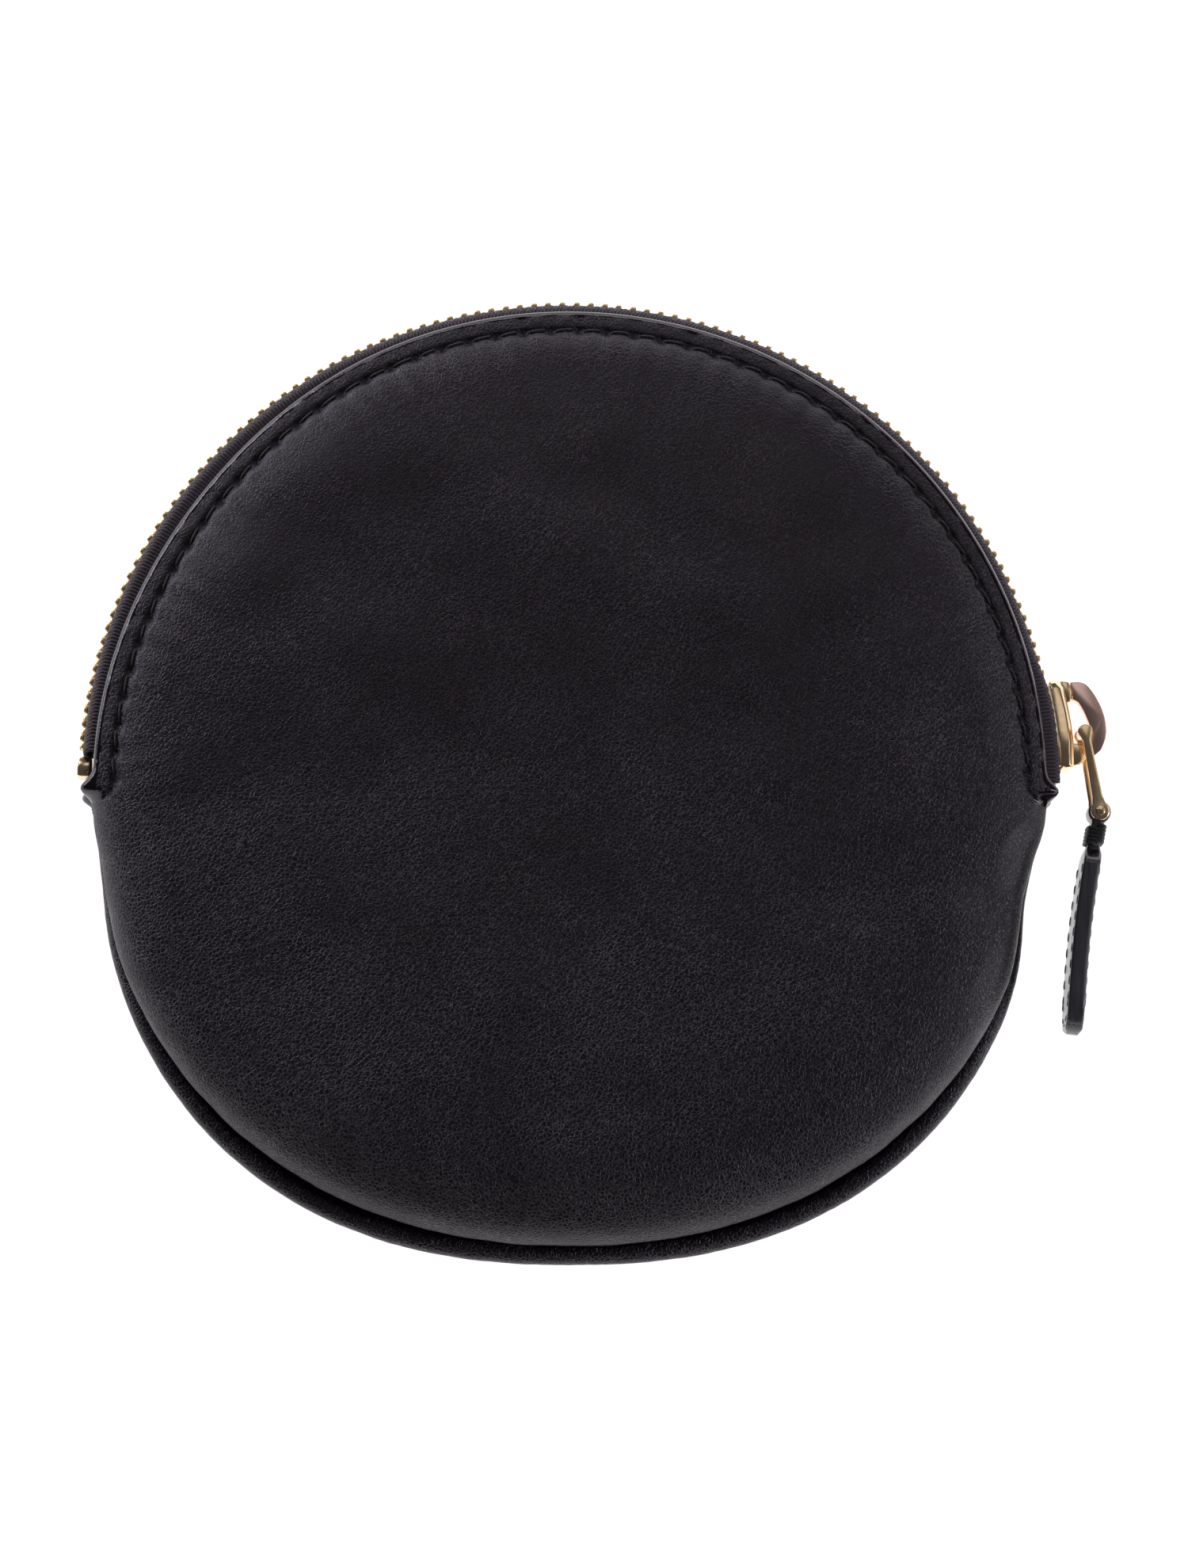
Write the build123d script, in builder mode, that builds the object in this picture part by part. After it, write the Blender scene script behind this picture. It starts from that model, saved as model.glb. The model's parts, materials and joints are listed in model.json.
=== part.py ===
from build123d import *
import math
import os

os.makedirs("parts", exist_ok=True)

# ---------------------------------------------------------------- driving dimensions, mm
MID = 12.0            # height of the zip's middle plane above the table
HINGE_Z = 5.1         # fold line of the front panel, above the middle plane
OPEN_DEG = 30.0       # how far the front flap lifts
SPLIT_GAP = 0.3       # relief between flap and base at the fold line

# Zip, centred on the Z axis
TAPE_R = 61.1
TAPE_T = 0.5
TOOTH_IN_R = 60.3
TOOTH_OUT_R = 61.9
TOOTH_W = 0.78        # along the zip
TOOTH_PITCH = 1.78    # per side
ZIP_END_DEG = 176.0
SLIDER_DEG = 7.6      # middle of the slider when the zip is closed
SLIDER_HALF_DEG = 5.1

# Turned edge of each panel beside the zip
HEM_R = 58.95         # middle of the folded edge
HEM_Z = 5.1
HEM_HALF = 1.1
HEM_LEN = 3.6

# Piped lower seam
WELT_TUBE = 1.5
CORD_R = 0.72

# Outline of the panels seen from the front: a circle of this radius above the fold line,
# and below it a squarer curve of arcs: half width, drop below centre, side, corner, bottom radii
PANEL_A, PANEL_B = 60.1, 57.9
PANEL_ARCS = (68.0, 53.0, 66.0)
WELT_A, WELT_B = 60.0, 60.1
WELT_ARCS = (80.0, 50.0, 78.0)
PLATEAU = 40.1        # distance from the outline to the flat middle of a panel

# Sections: radius (or PANEL_A less the distance inside the outline), height above MID
DOME_OUT = ((52.5, 9.9), (47.0, 10.75), (38.0, 11.5), (29.0, 11.9), (20.0, 12.0))
DOME_IN = ((20.0, 10.9), (29.0, 10.8), (38.0, 10.4), (46.7, 9.67), (51.9, 8.82))
SKIN_UP_OUT = ((57.15, 8.1), (55.4, 9.0)) + DOME_OUT
SKIN_UP_IN = DOME_IN + ((54.1, 8.05), (55.9, 7.0))
SKIN_LOW_OUT = (
    (57.3, 0.6), (58.6, 1.2), (59.7, 2.3), (60.1, 3.9), (59.6, 5.7), (58.2, 7.3), (55.9, 8.7),
) + DOME_OUT
SKIN_LOW_IN = DOME_IN + (
    (55.1, 7.7), (57.3, 6.35), (58.5, 5.2), (59.0, 3.9), (58.7, 2.8), (57.9, 2.1), (56.9, 1.65),
)
FOAM_OUT = (
    (58.75, 3.0), (58.93, 3.95), (58.42, 5.15), (57.22, 6.3), (55.0, 7.65),
    (51.8, 8.78), (46.6, 9.63), (38.0, 10.36), (29.0, 10.76), (20.0, 10.87),
)
FOAM_IN = (
    (20.0, 8.75), (29.0, 8.65), (38.0, 8.2), (46.0, 7.5), (50.7, 6.72),
    (53.6, 5.65), (55.5, 4.65), (56.5, 3.8), (56.8, 3.0),
)
FOAM_EDGE = 8.1       # height above MID where the padding stops beside the zip
BAG_OUT = (
    (54.7, 0.02), (54.75, 3.0), (54.5, 4.5), (53.3, 5.55), (50.6, 6.66),
    (46.0, 7.45), (38.0, 8.15), (29.0, 8.6), (20.0, 8.7),
)
BAG_IN = (
    (20.0, 8.2), (29.0, 8.1), (38.0, 7.65), (45.8, 6.95), (50.35, 6.15),
    (52.9, 5.1), (54.0, 4.2), (54.25, 3.0), (54.2, 0.02),
)
BAG_EDGE = 4.7        # height above MID where the lining stops beside the zip

# Pull: pivot on the slider's bridge, pin at the fork's end, foot of the strap
PIVOT = (65.15, 7.3)
PIN = (67.0, -2.8)
STRAP_FOOT = (63.5, -30.9)
BAR_R = 0.75
PIN_R = 0.6
DISC_R = 1.2
FORK_IN = 2.5
FORK_OUT = 3.3
NECK_HALF = 2.35
STRAP_HALF = 5.0
STRAP_T = 2.1

SQ = math.sqrt(0.5)


# ---------------------------------------------------------------- helpers
def polar(r, deg):
    return (r * math.cos(math.radians(deg)), r * math.sin(math.radians(deg)))


def low_arcs(a, b, radii):
    """Arcs of the lower outline, anticlockwise from 180 to 360: centre x, y, radius, start, end."""
    side, corner, bottom = radii
    sx, by = a - side, bottom - b
    d1, d2 = side - corner, bottom - corner
    gap = math.hypot(sx, by)
    along = (d1 * d1 - d2 * d2 + gap * gap) / (2 * gap)
    off = math.sqrt(d1 * d1 - along * along)
    ux, uy = -sx / gap, by / gap
    cx, cy = sx + along * ux + off * uy, along * uy - off * ux
    t1 = math.degrees(math.atan2(cy, cx - sx))
    t2 = math.degrees(math.atan2(cy - by, cx))
    return (
        (-sx, 0, side, 180, 180 - t1),
        (-cx, cy, corner, 180 - t1, 180 - t2),
        (0, by, bottom, 180 - t2, 360 + t2),
        (cx, cy, corner, 360 + t2, 360 + t1),
        (sx, 0, side, 360 + t1, 360),
    )


def turn(arc, side, outer, inner, base=PANEL_A):
    """Section turned round one arc. outer and inner are curves, joined end to end by lines."""
    cx, cy, radius, start, end = arc
    d = polar(1.0, start)
    plane = Plane(origin=(cx, cy, MID), x_dir=(d[0], d[1], 0), z_dir=(d[1], -d[0], 0))
    out = [(radius - base + r, side * z) for r, z in outer]
    back = [(radius - base + r, side * z) for r, z in inner]
    with BuildPart() as body:
        with BuildSketch(plane):
            with BuildLine():
                Spline(*out)
                Line(out[-1], back[0])
                Spline(*back)
                Line(back[-1], out[0])
            make_face()
        revolve(axis=Axis((cx, cy, 0), (0, 0, 1)), revolution_arc=end - start)
    return body.part


def turn_poly(arc, side, points, base=PANEL_A):
    cx, cy, radius, start, end = arc
    d = polar(1.0, start)
    plane = Plane(origin=(cx, cy, MID), x_dir=(d[0], d[1], 0), z_dir=(d[1], -d[0], 0))
    with BuildPart() as body:
        with BuildSketch(plane):
            with BuildLine():
                Polyline(*[(radius - base + r, side * z) for r, z in points], close=True)
            make_face()
        revolve(axis=Axis((cx, cy, 0), (0, 0, 1)), revolution_arc=end - start)
    return body.part


UPPER = (0, 0, PANEL_A, 0, 180)
LOWER = low_arcs(PANEL_A, PANEL_B, PANEL_ARCS)
PIPING = low_arcs(WELT_A, WELT_B, WELT_ARCS)


def middle(side, z0, z1, upper, lower):
    """Flat middle of a layer, between two heights."""
    with BuildPart() as body:
        with BuildSketch(Plane.XY.offset(MID + min(side * z0, side * z1))):
            if upper:
                with BuildLine():
                    CenterArc((0, 0), PANEL_A - PLATEAU, 0, 180)
                    Line((PLATEAU - PANEL_A, 0), (PANEL_A - PLATEAU, 0))
                make_face()
            if lower:
                with BuildLine():
                    for cx, cy, radius, start, end in LOWER:
                        CenterArc((cx, cy), radius - PLATEAU, start, end - start)
                    Line((PLATEAU - PANEL_A, 0), (PANEL_A - PLATEAU, 0))
                make_face()
        extrude(amount=abs(z1 - z0))
    return body.part


def fold_cut(which):
    """Prism that takes away the other side of the fold line. which is 1 for the flap."""
    top = 20.0
    half = SPLIT_GAP / 2
    lean = half + (top - HINGE_Z) * math.tan(math.radians(OPEN_DEG / 2 + 0.3))
    with BuildPart() as body:
        with BuildSketch(Plane.YZ.offset(-100)):
            with BuildLine():
                Polyline(
                    (which * half, MID - 20),
                    (which * half, MID + HINGE_Z),
                    (which * lean, MID + top),
                    (-which * 90, MID + top),
                    (-which * 90, MID - 20),
                    close=True,
                )
            make_face()
        extrude(amount=200)
    return body.part


def hem_section():
    """Folded edge with a round fold on a 45 degree slope, from its inner end round to the outer end."""
    tip = (HEM_R - HEM_LEN * SQ, HEM_Z + HEM_LEN * SQ)
    off = HEM_HALF * SQ
    fold = [
        (HEM_R + HEM_HALF * math.cos(math.radians(t)), HEM_Z + HEM_HALF * math.sin(math.radians(t)))
        for t in range(-135, 46, 15)
    ]
    return [(tip[0] - off, tip[1] - off)] + fold + [(tip[0] + off, tip[1] + off)]


def ear(side):
    """Corner lugs where the turned edge ends, beside each end of the zip."""
    with BuildPart() as body:
        with BuildSketch(Plane.XY.offset(MID + (2.9 if side > 0 else -5.7))):
            for s in (1, -1):
                with BuildLine():
                    Polyline(
                        (s * 58.6, -0.2),
                        (s * 61.2, -0.2),
                        (s * 61.9, -0.7),
                        (s * 61.7, -1.6),
                        (s * 60.4, -3.4),
                        (s * 58.6, -3.6),
                        close=True,
                    )
                make_face()
        extrude(amount=2.8)
    return body.part


def piped_ring(r_in, r_out, z0, z1):
    """Flat band following the piping, r measured as on the piping's outline."""
    points = ((r_in, z0), (r_out, z0), (r_out, z1), (r_in, z1))
    return [turn_poly(arc, 1, points, WELT_A) for arc in PIPING]


def piped_tube(radius):
    """Round tube following the piping. Its two ends are cut off by the caller."""
    shapes = []
    for cx, cy, big, start, end in PIPING:
        d = polar(1.0, start)
        plane = Plane(origin=(cx, cy, MID), x_dir=(d[0], d[1], 0), z_dir=(d[1], -d[0], 0))
        with BuildPart() as body:
            with BuildSketch(plane):
                with Locations((big - WELT_TUBE, 0)):
                    Circle(radius)
            revolve(axis=Axis((cx, cy, 0), (0, 0, 1)), revolution_arc=end - start)
        shapes.append(body.part)
    return shapes


def above(y):
    """Block covering everything above this y."""
    with BuildPart() as body:
        with BuildSketch(Plane.XY.offset(-5)):
            with Locations((0, y + 60)):
                Rectangle(200, 120)
        extrude(amount=60)
    return body.part


def on_tape(side, start, end):
    """Zip tape: edge held by the teeth, turned in under the folded edge."""
    points = (
        (TAPE_R, 1.02),
        (TAPE_R, 3.1),
        (TAPE_R - 0.18, 3.52),
        (TAPE_R - 0.6, 3.7),
        (58.7, 3.7),
        (58.0, 3.95),
        (57.4, 4.5),
        (55.75, 6.15),
    )
    half = TAPE_T / 2
    left, right = [], []
    for i, (r, z) in enumerate(points):
        r0, z0 = points[max(i - 1, 0)]
        r1, z1 = points[min(i + 1, len(points) - 1)]
        length = math.hypot(r1 - r0, z1 - z0)
        nr, nz = (z1 - z0) / length, -(r1 - r0) / length
        left.append((r + nr * half, z + nz * half))
        right.append((r - nr * half, z - nz * half))
    return turn_poly((0, 0, 0, start, end), side, left + right[::-1], 0)


def tooth(side):
    """One tooth at angle 0: a head towards the other row and two jaws round the tape."""
    z = [MID + side * v for v in (-0.35, 0.0, 1.0, 2.0)]
    slot = TAPE_T / 2 + 0.03
    with BuildPart() as body:
        with BuildSketch(Plane.XZ.offset(-TOOTH_W / 2)):
            with BuildLine():
                Polyline(
                    (TOOTH_IN_R + 0.25, z[0]),
                    (TOOTH_OUT_R - 0.25, z[0]),
                    (TOOTH_OUT_R, z[1]),
                    (TOOTH_OUT_R, z[3]),
                    (TAPE_R + slot, z[3]),
                    (TAPE_R + slot, z[2]),
                    (TAPE_R - slot, z[2]),
                    (TAPE_R - slot, z[3]),
                    (TOOTH_IN_R, z[3]),
                    (TOOTH_IN_R, z[1]),
                    close=True,
                )
            make_face()
        extrude(amount=TOOTH_W)
    return body.part


def tooth_row(side, start, end):
    step = math.degrees(TOOTH_PITCH / TAPE_R)
    count = int((end - start) / step) + 1
    shape = tooth(side)
    return [Rot(0, 0, start + step * i) * shape for i in range(count)]


def stitch(centre, direction, length, radius):
    """One stitch: a short round bar with eased ends."""
    d = Vector(*direction).normalized()
    base = Vector(*centre) - d * (length / 2)
    with BuildPart() as body:
        with BuildSketch(Plane(base, z_dir=d)):
            Circle(radius)
        extrude(amount=length)
        chamfer(body.edges(), radius * 0.45)
    return body.part


def hem_stitches(side):
    """Topstitching that lies on the slope of the folded edge."""
    pitch = 3.5
    along = HEM_LEN - 1.1
    lift = HEM_HALF + 0.30
    r = HEM_R - along * SQ + lift * SQ
    z = HEM_Z + along * SQ + lift * SQ
    step = math.degrees(pitch / r)
    count = int(176.0 / step)
    first = stitch((r, 0, MID + side * z), (-0.12, 1.0, side * 0.12), 2.5, 0.27)
    return [Rot(0, 0, 3.4 + step * i) * first for i in range(count)]


def skin(side, upper, lower):
    """Leather of one panel: folded edge above the fold line, rolled and seamed edge below."""
    with BuildPart() as body:
        if upper:
            add(turn(UPPER, side, SKIN_UP_OUT, SKIN_UP_IN))
            add(turn_poly(UPPER, side, hem_section()))
        if lower:
            for arc in LOWER:
                add(turn(arc, side, SKIN_LOW_OUT, SKIN_LOW_IN))
                add(turn_poly(arc, side, ((54.95, 0.45), (57.3, 0.45), (57.9, 1.55), (54.95, 1.6))))
            add(piped_tube(WELT_TUBE + 0.03), mode=Mode.SUBTRACT)
            add(ear(side))
        add(middle(side, 10.9, 12.0, upper, lower))
    return body.part


def layer(side, upper, lower, outer, inner, z0, z1, edge):
    """Padding or lining between two curves. Beside the zip it stops at the height called edge."""
    with BuildPart() as body:
        if upper:
            add(turn(UPPER, side, outer, inner))
        if lower:
            for arc in LOWER:
                add(turn(arc, side, outer, inner))
        add(middle(side, z0, z1, upper, lower))
        if upper:
            with BuildSketch(Plane.XY.offset(MID - edge)):
                with Locations((0, 50)):
                    Rectangle(200, 100)
            extrude(amount=2 * edge, mode=Mode.SUBTRACT)
    return body.part


def foam(side, upper, lower):
    return layer(side, upper, lower, FOAM_OUT, FOAM_IN, 8.75, 10.87, FOAM_EDGE)


def bag(side, upper, lower):
    return layer(side, upper, lower, BAG_OUT, BAG_IN, 8.2, 8.7, BAG_EDGE)


# ---------------------------------------------------------------- back half
with BuildPart() as back_panel:
    add(skin(-1, True, True))

with BuildPart() as back_padding:
    add(foam(-1, True, True))

with BuildPart() as back_lining:
    add(bag(-1, True, True))

with BuildPart() as back_zip_tape:
    add(on_tape(-1, 0.6, ZIP_END_DEG))

with BuildPart() as back_teeth:
    add(tooth_row(-1, 3.2, ZIP_END_DEG - 0.6))

with BuildPart() as back_topstitch:
    add(hem_stitches(-1))

# ---------------------------------------------------------------- front half, split at the fold
not_flap = fold_cut(1)
not_base = fold_cut(-1)

with BuildPart() as front_panel_base:
    add(skin(1, False, True))
    add(not_base, mode=Mode.SUBTRACT)

with BuildPart() as front_padding_base:
    add(foam(1, False, True))
    add(not_base, mode=Mode.SUBTRACT)

with BuildPart() as front_lining_base:
    add(bag(1, False, True))
    add(not_base, mode=Mode.SUBTRACT)

with BuildPart() as front_panel_flap:
    add(skin(1, True, False))
    add(not_flap, mode=Mode.SUBTRACT)

with BuildPart() as front_padding_flap:
    add(foam(1, True, False))
    add(not_flap, mode=Mode.SUBTRACT)

with BuildPart() as front_lining_flap:
    add(bag(1, True, False))
    add(not_flap, mode=Mode.SUBTRACT)

with BuildPart() as front_zip_tape:
    add(on_tape(1, 0.6, ZIP_END_DEG))

with BuildPart() as front_teeth:
    add(tooth_row(1, 3.2 + math.degrees(TOOTH_PITCH / TAPE_R) * 2.5, ZIP_END_DEG - 0.6))

with BuildPart() as front_topstitch:
    add(hem_stitches(1))

# ---------------------------------------------------------------- piped lower seam
with BuildPart() as welt:
    add(piped_tube(WELT_TUBE))
    add(piped_ring(WELT_A - 4.6, WELT_A - 2.4, -0.4, 0.4))
    add(piped_tube(WELT_TUBE - 0.75), mode=Mode.SUBTRACT)
    add(above(-4.0), mode=Mode.SUBTRACT)

with BuildPart() as welt_cord:
    add(piped_tube(CORD_R))
    add(above(-4.3), mode=Mode.SUBTRACT)

SEAM = low_arcs(PANEL_A - 4.3, PANEL_B - 4.3, tuple(r - 4.3 for r in PANEL_ARCS))
with BuildPart() as seam_stitch:
    for cx, cy, radius, start, end in SEAM:
        count = int(math.radians(end - start) * radius / 3.0)
        for k in range(count):
            at = start + (end - start) * (k + 0.5) / count
            px, py = polar(radius, at)
            if cy + py < -6:
                for side in (1, -1):
                    along = polar(1.0, at + 90)
                    add(stitch((cx + px, cy + py, MID + side * 1.9), (along[0], along[1], 0), 2.3, 0.25))

with BuildPart() as end_tack_stitch:
    for s in (1, -1):
        for y in (-1.2, -2.4):
            for z in (-1, 1):
                add(stitch((s * (60.35 - 0.1 * abs(y)), y, MID + z * 1.6), (0, 0.05, 1), 1.5, 0.22))

# ---------------------------------------------------------------- zip stops
with BuildPart() as bottom_stop:
    with BuildSketch(Plane.XY.offset(MID - 2.2)):
        with Locations(polar(61.1, 177.75)):
            Rectangle(1.9, 2.6)
    extrude(amount=4.4)
    fillet(bottom_stop.edges().filter_by(Axis.Z), 0.35)

stop_at = (TAPE_R * math.cos(math.radians(1.6)), TAPE_R * math.sin(math.radians(1.6)))


def top_stop(side):
    with BuildPart() as body:
        with BuildSketch(Plane.XY.offset(MID + (1.3 if side > 0 else -2.3))):
            with Locations(stop_at):
                Rectangle(1.8, 1.3)
                Rectangle(TAPE_T + 0.06, 1.4, mode=Mode.SUBTRACT)
        extrude(amount=1.0)
        with BuildSketch(Plane.XY.offset(MID + (0.55 if side > 0 else -1.3))):
            with Locations(stop_at):
                Rectangle(1.8, 1.3)
        extrude(amount=0.75)
        add(on_tape(side, 0.3, 3.0), mode=Mode.SUBTRACT)
    return body.part


with BuildPart() as top_stop_front:
    add(top_stop(1))

with BuildPart() as top_stop_back:
    add(top_stop(-1))

# ---------------------------------------------------------------- slider
U = (math.cos(math.radians(SLIDER_DEG)), math.sin(math.radians(SLIDER_DEG)))
SLIDER_PLANE = Plane(origin=(0, 0, MID), x_dir=(U[0], U[1], 0), z_dir=(0, 0, 1))


def ring(r0, r1, z0, z1, deg0=SLIDER_DEG - SLIDER_HALF_DEG, deg1=SLIDER_DEG + SLIDER_HALF_DEG):
    return turn_poly((0, 0, 0, deg0, deg1), 1, ((r0, z0), (r1, z0), (r1, z1), (r0, z1)), 0)


def slider_outline(mouth, tail):
    """Plan outline of a wing seen from outside, wide at the mouth."""
    reach = 5.6
    with BuildPart() as body:
        with BuildSketch(Plane(origin=(U[0] * 56, U[1] * 56, MID), x_dir=(-U[1], U[0], 0), z_dir=(U[0], U[1], 0))):
            with BuildLine():
                Polyline(
                    (-reach, -mouth),
                    (-1.6, -mouth),
                    (1.0, -tail),
                    (reach, -tail),
                    (reach, tail),
                    (1.0, tail),
                    (-1.6, mouth),
                    (-reach, mouth),
                    close=True,
                )
            make_face()
        extrude(amount=14)
    return body.part


with BuildPart() as slider_body:
    add(ring(62.1, 64.0, -3.5, 3.5))
    add(ring(61.5, 62.2, 2.25, 3.5))
    add(ring(61.5, 62.2, -3.5, -2.25))
    add(slider_outline(3.5, 2.95), mode=Mode.INTERSECT)
    inner_wing = ring(58.7, 60.1, -3.3, 3.3) + ring(60.0, 60.7, 2.25, 3.3) + ring(60.0, 60.7, -3.3, -2.25)
    add(inner_wing)
    add(ring(60.0, 62.2, 0.42, 0.97, SLIDER_DEG - 4.4, SLIDER_DEG - 2.4))
    with BuildSketch(SLIDER_PLANE.offset(-1.3)):
        with BuildLine():
            Polyline((63.6, -5.3), (65.4, -4.9), (65.6, -3.2), (65.3, -2.6), (63.6, -2.5), close=True)
        make_face()
    extrude(amount=2.6)
    with BuildSketch(SLIDER_PLANE.offset(-1.6)):
        with BuildLine():
            Polyline((63.6, 2.9), (64.6, 3.0), (64.7, 5.3), (63.6, 5.5), close=True)
        make_face()
    extrude(amount=3.2)

with BuildPart() as slider_bridge:
    with BuildSketch(SLIDER_PLANE.offset(-1.0)):
        with BuildLine():
            outer = Spline(
                (64.72, 5.25), (66.6, 4.75), (67.85, 2.7), (68.5, -0.8), (67.75, -3.4), (66.4, -4.4),
            )
            inner = Spline(
                (65.72, -2.75), (66.3, -2.3), (66.6, -0.8), (66.25, 1.3), (65.6, 2.6), (64.78, 3.1),
            )
            Line(outer @ 1, (65.66, -4.3))
            Line((65.66, -4.3), inner @ 0)
            Line(inner @ 1, outer @ 0)
        make_face()
    extrude(amount=2.0)

# ---------------------------------------------------------------- pull link
LINK_DEG = math.degrees(math.atan2(PIN[1] - PIVOT[1], PIN[0] - PIVOT[0]))
LINK_LEN = math.hypot(PIN[0] - PIVOT[0], PIN[1] - PIVOT[1])
LINK_X = polar(1.0, LINK_DEG)
LINK_PLANE = Plane(origin=(PIVOT[0], PIVOT[1], MID), x_dir=(LINK_X[0], LINK_X[1], 0), z_dir=(0, 0, 1))

with BuildPart() as pull_link:
    with BuildSketch(LINK_PLANE.offset(-FORK_OUT)):
        Circle(BAR_R)
    extrude(amount=2 * FORK_OUT)
    for z0 in (-FORK_OUT, FORK_IN):
        with BuildSketch(LINK_PLANE.offset(z0)):
            with BuildLine():
                Polyline((0, -0.5), (LINK_LEN, -0.72), (LINK_LEN, 0.72), (0, 0.5), close=True)
            make_face()
            Circle(BAR_R)
            with Locations((LINK_LEN, 0)):
                Circle(DISC_R)
                Circle(PIN_R, mode=Mode.SUBTRACT)
        extrude(amount=FORK_OUT - FORK_IN)

with BuildPart() as pull_pin:
    with BuildSketch(Plane.XY.offset(MID - FORK_OUT - 0.25)):
        with Locations(PIN):
            Circle(PIN_R)
    extrude(amount=2 * FORK_OUT + 0.5)
    fillet(pull_pin.edges(), 0.25)

# ---------------------------------------------------------------- pull strap
STRAP_DIR = math.degrees(math.atan2(STRAP_FOOT[1] - PIN[1], STRAP_FOOT[0] - PIN[0]))
STRAP_LEN = math.hypot(STRAP_FOOT[0] - PIN[0], STRAP_FOOT[1] - PIN[1])
STRAP_X = polar(1.0, STRAP_DIR)
STRAP_PLANE = Plane(origin=(PIN[0], PIN[1], MID), x_dir=(STRAP_X[0], STRAP_X[1], 0), z_dir=(0, 0, 1))
STRAP_FACE = Plane(
    origin=(PIN[0], PIN[1], MID),
    x_dir=(STRAP_X[0], STRAP_X[1], 0),
    z_dir=(STRAP_X[1], -STRAP_X[0], 0),
)

with BuildPart() as pull_strap:
    with BuildSketch(STRAP_PLANE.offset(-STRAP_HALF)):
        Circle(PIN_R + 0.05 + 0.8)
        with BuildLine():
            Polyline(
                (0.6, -0.75), (4.4, -0.75), (5.4, -STRAP_T / 2), (STRAP_LEN, -STRAP_T / 2),
                (STRAP_LEN, STRAP_T / 2), (5.4, STRAP_T / 2), (4.4, 0.75), (0.6, 0.75), close=True,
            )
        make_face()
        Circle(PIN_R + 0.05, mode=Mode.SUBTRACT)
    extrude(amount=2 * STRAP_HALF)
    with BuildSketch(STRAP_FACE.offset(-6)):
        with BuildLine():
            l1 = Polyline((-2, NECK_HALF), (4.1, NECK_HALF), (4.9, 3.6), (6.6, STRAP_HALF))
            l2 = Line((6.6, STRAP_HALF), (STRAP_LEN - 4.4, STRAP_HALF))
            l3 = Spline(
                (STRAP_LEN - 4.4, STRAP_HALF), (STRAP_LEN - 1.2, 3.4), (STRAP_LEN, 0),
                (STRAP_LEN - 1.2, -3.4), (STRAP_LEN - 4.4, -STRAP_HALF), tangents=[(1, 0), (-1, 0)],
            )
            l4 = Line((STRAP_LEN - 4.4, -STRAP_HALF), (6.6, -STRAP_HALF))
            l5 = Polyline((6.6, -STRAP_HALF), (4.9, -3.6), (4.1, -NECK_HALF), (-2, -NECK_HALF))
            l6 = Line((-2, -NECK_HALF), (-2, NECK_HALF))
        make_face()
    extrude(amount=12, mode=Mode.INTERSECT)

with BuildPart() as pull_binding:
    for k in range(4):
        with BuildSketch(Plane(
            origin=(PIN[0] + STRAP_X[0] * (1.95 + 0.52 * k), PIN[1] + STRAP_X[1] * (1.95 + 0.52 * k), MID),
            x_dir=(0, 0, 1),
            z_dir=(STRAP_X[0], STRAP_X[1], 0),
        )):
            RectangleRounded(2 * NECK_HALF + 0.9, 2.4, 0.4)
            Rectangle(2 * NECK_HALF + 0.04, 1.54, mode=Mode.SUBTRACT)
        extrude(amount=0.46)

with BuildPart() as pull_stitch:
    for face in (1, -1):
        for row in (3.9, -3.9):
            for k in range(8):
                along = 8.0 + 2.05 * k
                depth = face * (STRAP_T / 2 + 0.2)
                cx = PIN[0] + STRAP_X[0] * along + STRAP_X[1] * depth
                cy = PIN[1] + STRAP_X[1] * along - STRAP_X[0] * depth
                add(stitch((cx, cy, MID + row), (STRAP_X[0], STRAP_X[1], 0.08), 1.45, 0.18))
        for k in range(5):
            t = -60 + 30 * k
            along = STRAP_LEN - 5.1 + 3.9 * math.cos(math.radians(t))
            row = 3.9 * math.sin(math.radians(t))
            depth = face * (STRAP_T / 2 + 0.2)
            cx = PIN[0] + STRAP_X[0] * along + STRAP_X[1] * depth
            cy = PIN[1] + STRAP_X[1] * along - STRAP_X[0] * depth
            turn = math.radians(t)
            slope = (-math.sin(turn) * STRAP_X[0], -math.sin(turn) * STRAP_X[1], math.cos(turn))
            add(stitch((cx, cy, MID + row), slope, 1.4, 0.18))

# ---------------------------------------------------------------- files
NODES = {
    "back_panel": back_panel,
    "back_padding": back_padding,
    "back_lining": back_lining,
    "back_zip_tape": back_zip_tape,
    "back_teeth": back_teeth,
    "back_topstitch": back_topstitch,
    "front_panel_base": front_panel_base,
    "front_padding_base": front_padding_base,
    "front_lining_base": front_lining_base,
    "front_panel_flap": front_panel_flap,
    "front_padding_flap": front_padding_flap,
    "front_lining_flap": front_lining_flap,
    "front_zip_tape": front_zip_tape,
    "front_teeth": front_teeth,
    "front_topstitch": front_topstitch,
    "welt": welt,
    "welt_cord": welt_cord,
    "seam_stitch": seam_stitch,
    "end_tack_stitch": end_tack_stitch,
    "bottom_stop": bottom_stop,
    "top_stop_front": top_stop_front,
    "top_stop_back": top_stop_back,
    "slider_body": slider_body,
    "slider_bridge": slider_bridge,
    "pull_link": pull_link,
    "pull_pin": pull_pin,
    "pull_strap": pull_strap,
    "pull_binding": pull_binding,
    "pull_stitch": pull_stitch,
}

for name, built in NODES.items():
    built.part.label = name
    export_step(built.part, "parts/" + name + ".step")
    box = built.part.bounding_box()
    print(name, len(built.part.solids()), "solids", round(built.part.volume, 1), "mm3", box.min, box.max)
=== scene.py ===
"""Looks of the coin purse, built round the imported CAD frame.

Lengths are in millimetres until a mesh is made, and angles are in degrees. The zip runs round the upper half
from angle 0, where the slider rests, to angle 180.
"""

import json
import math

import bmesh
import bpy
import numpy as np
from mathutils import Matrix, Vector


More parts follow.
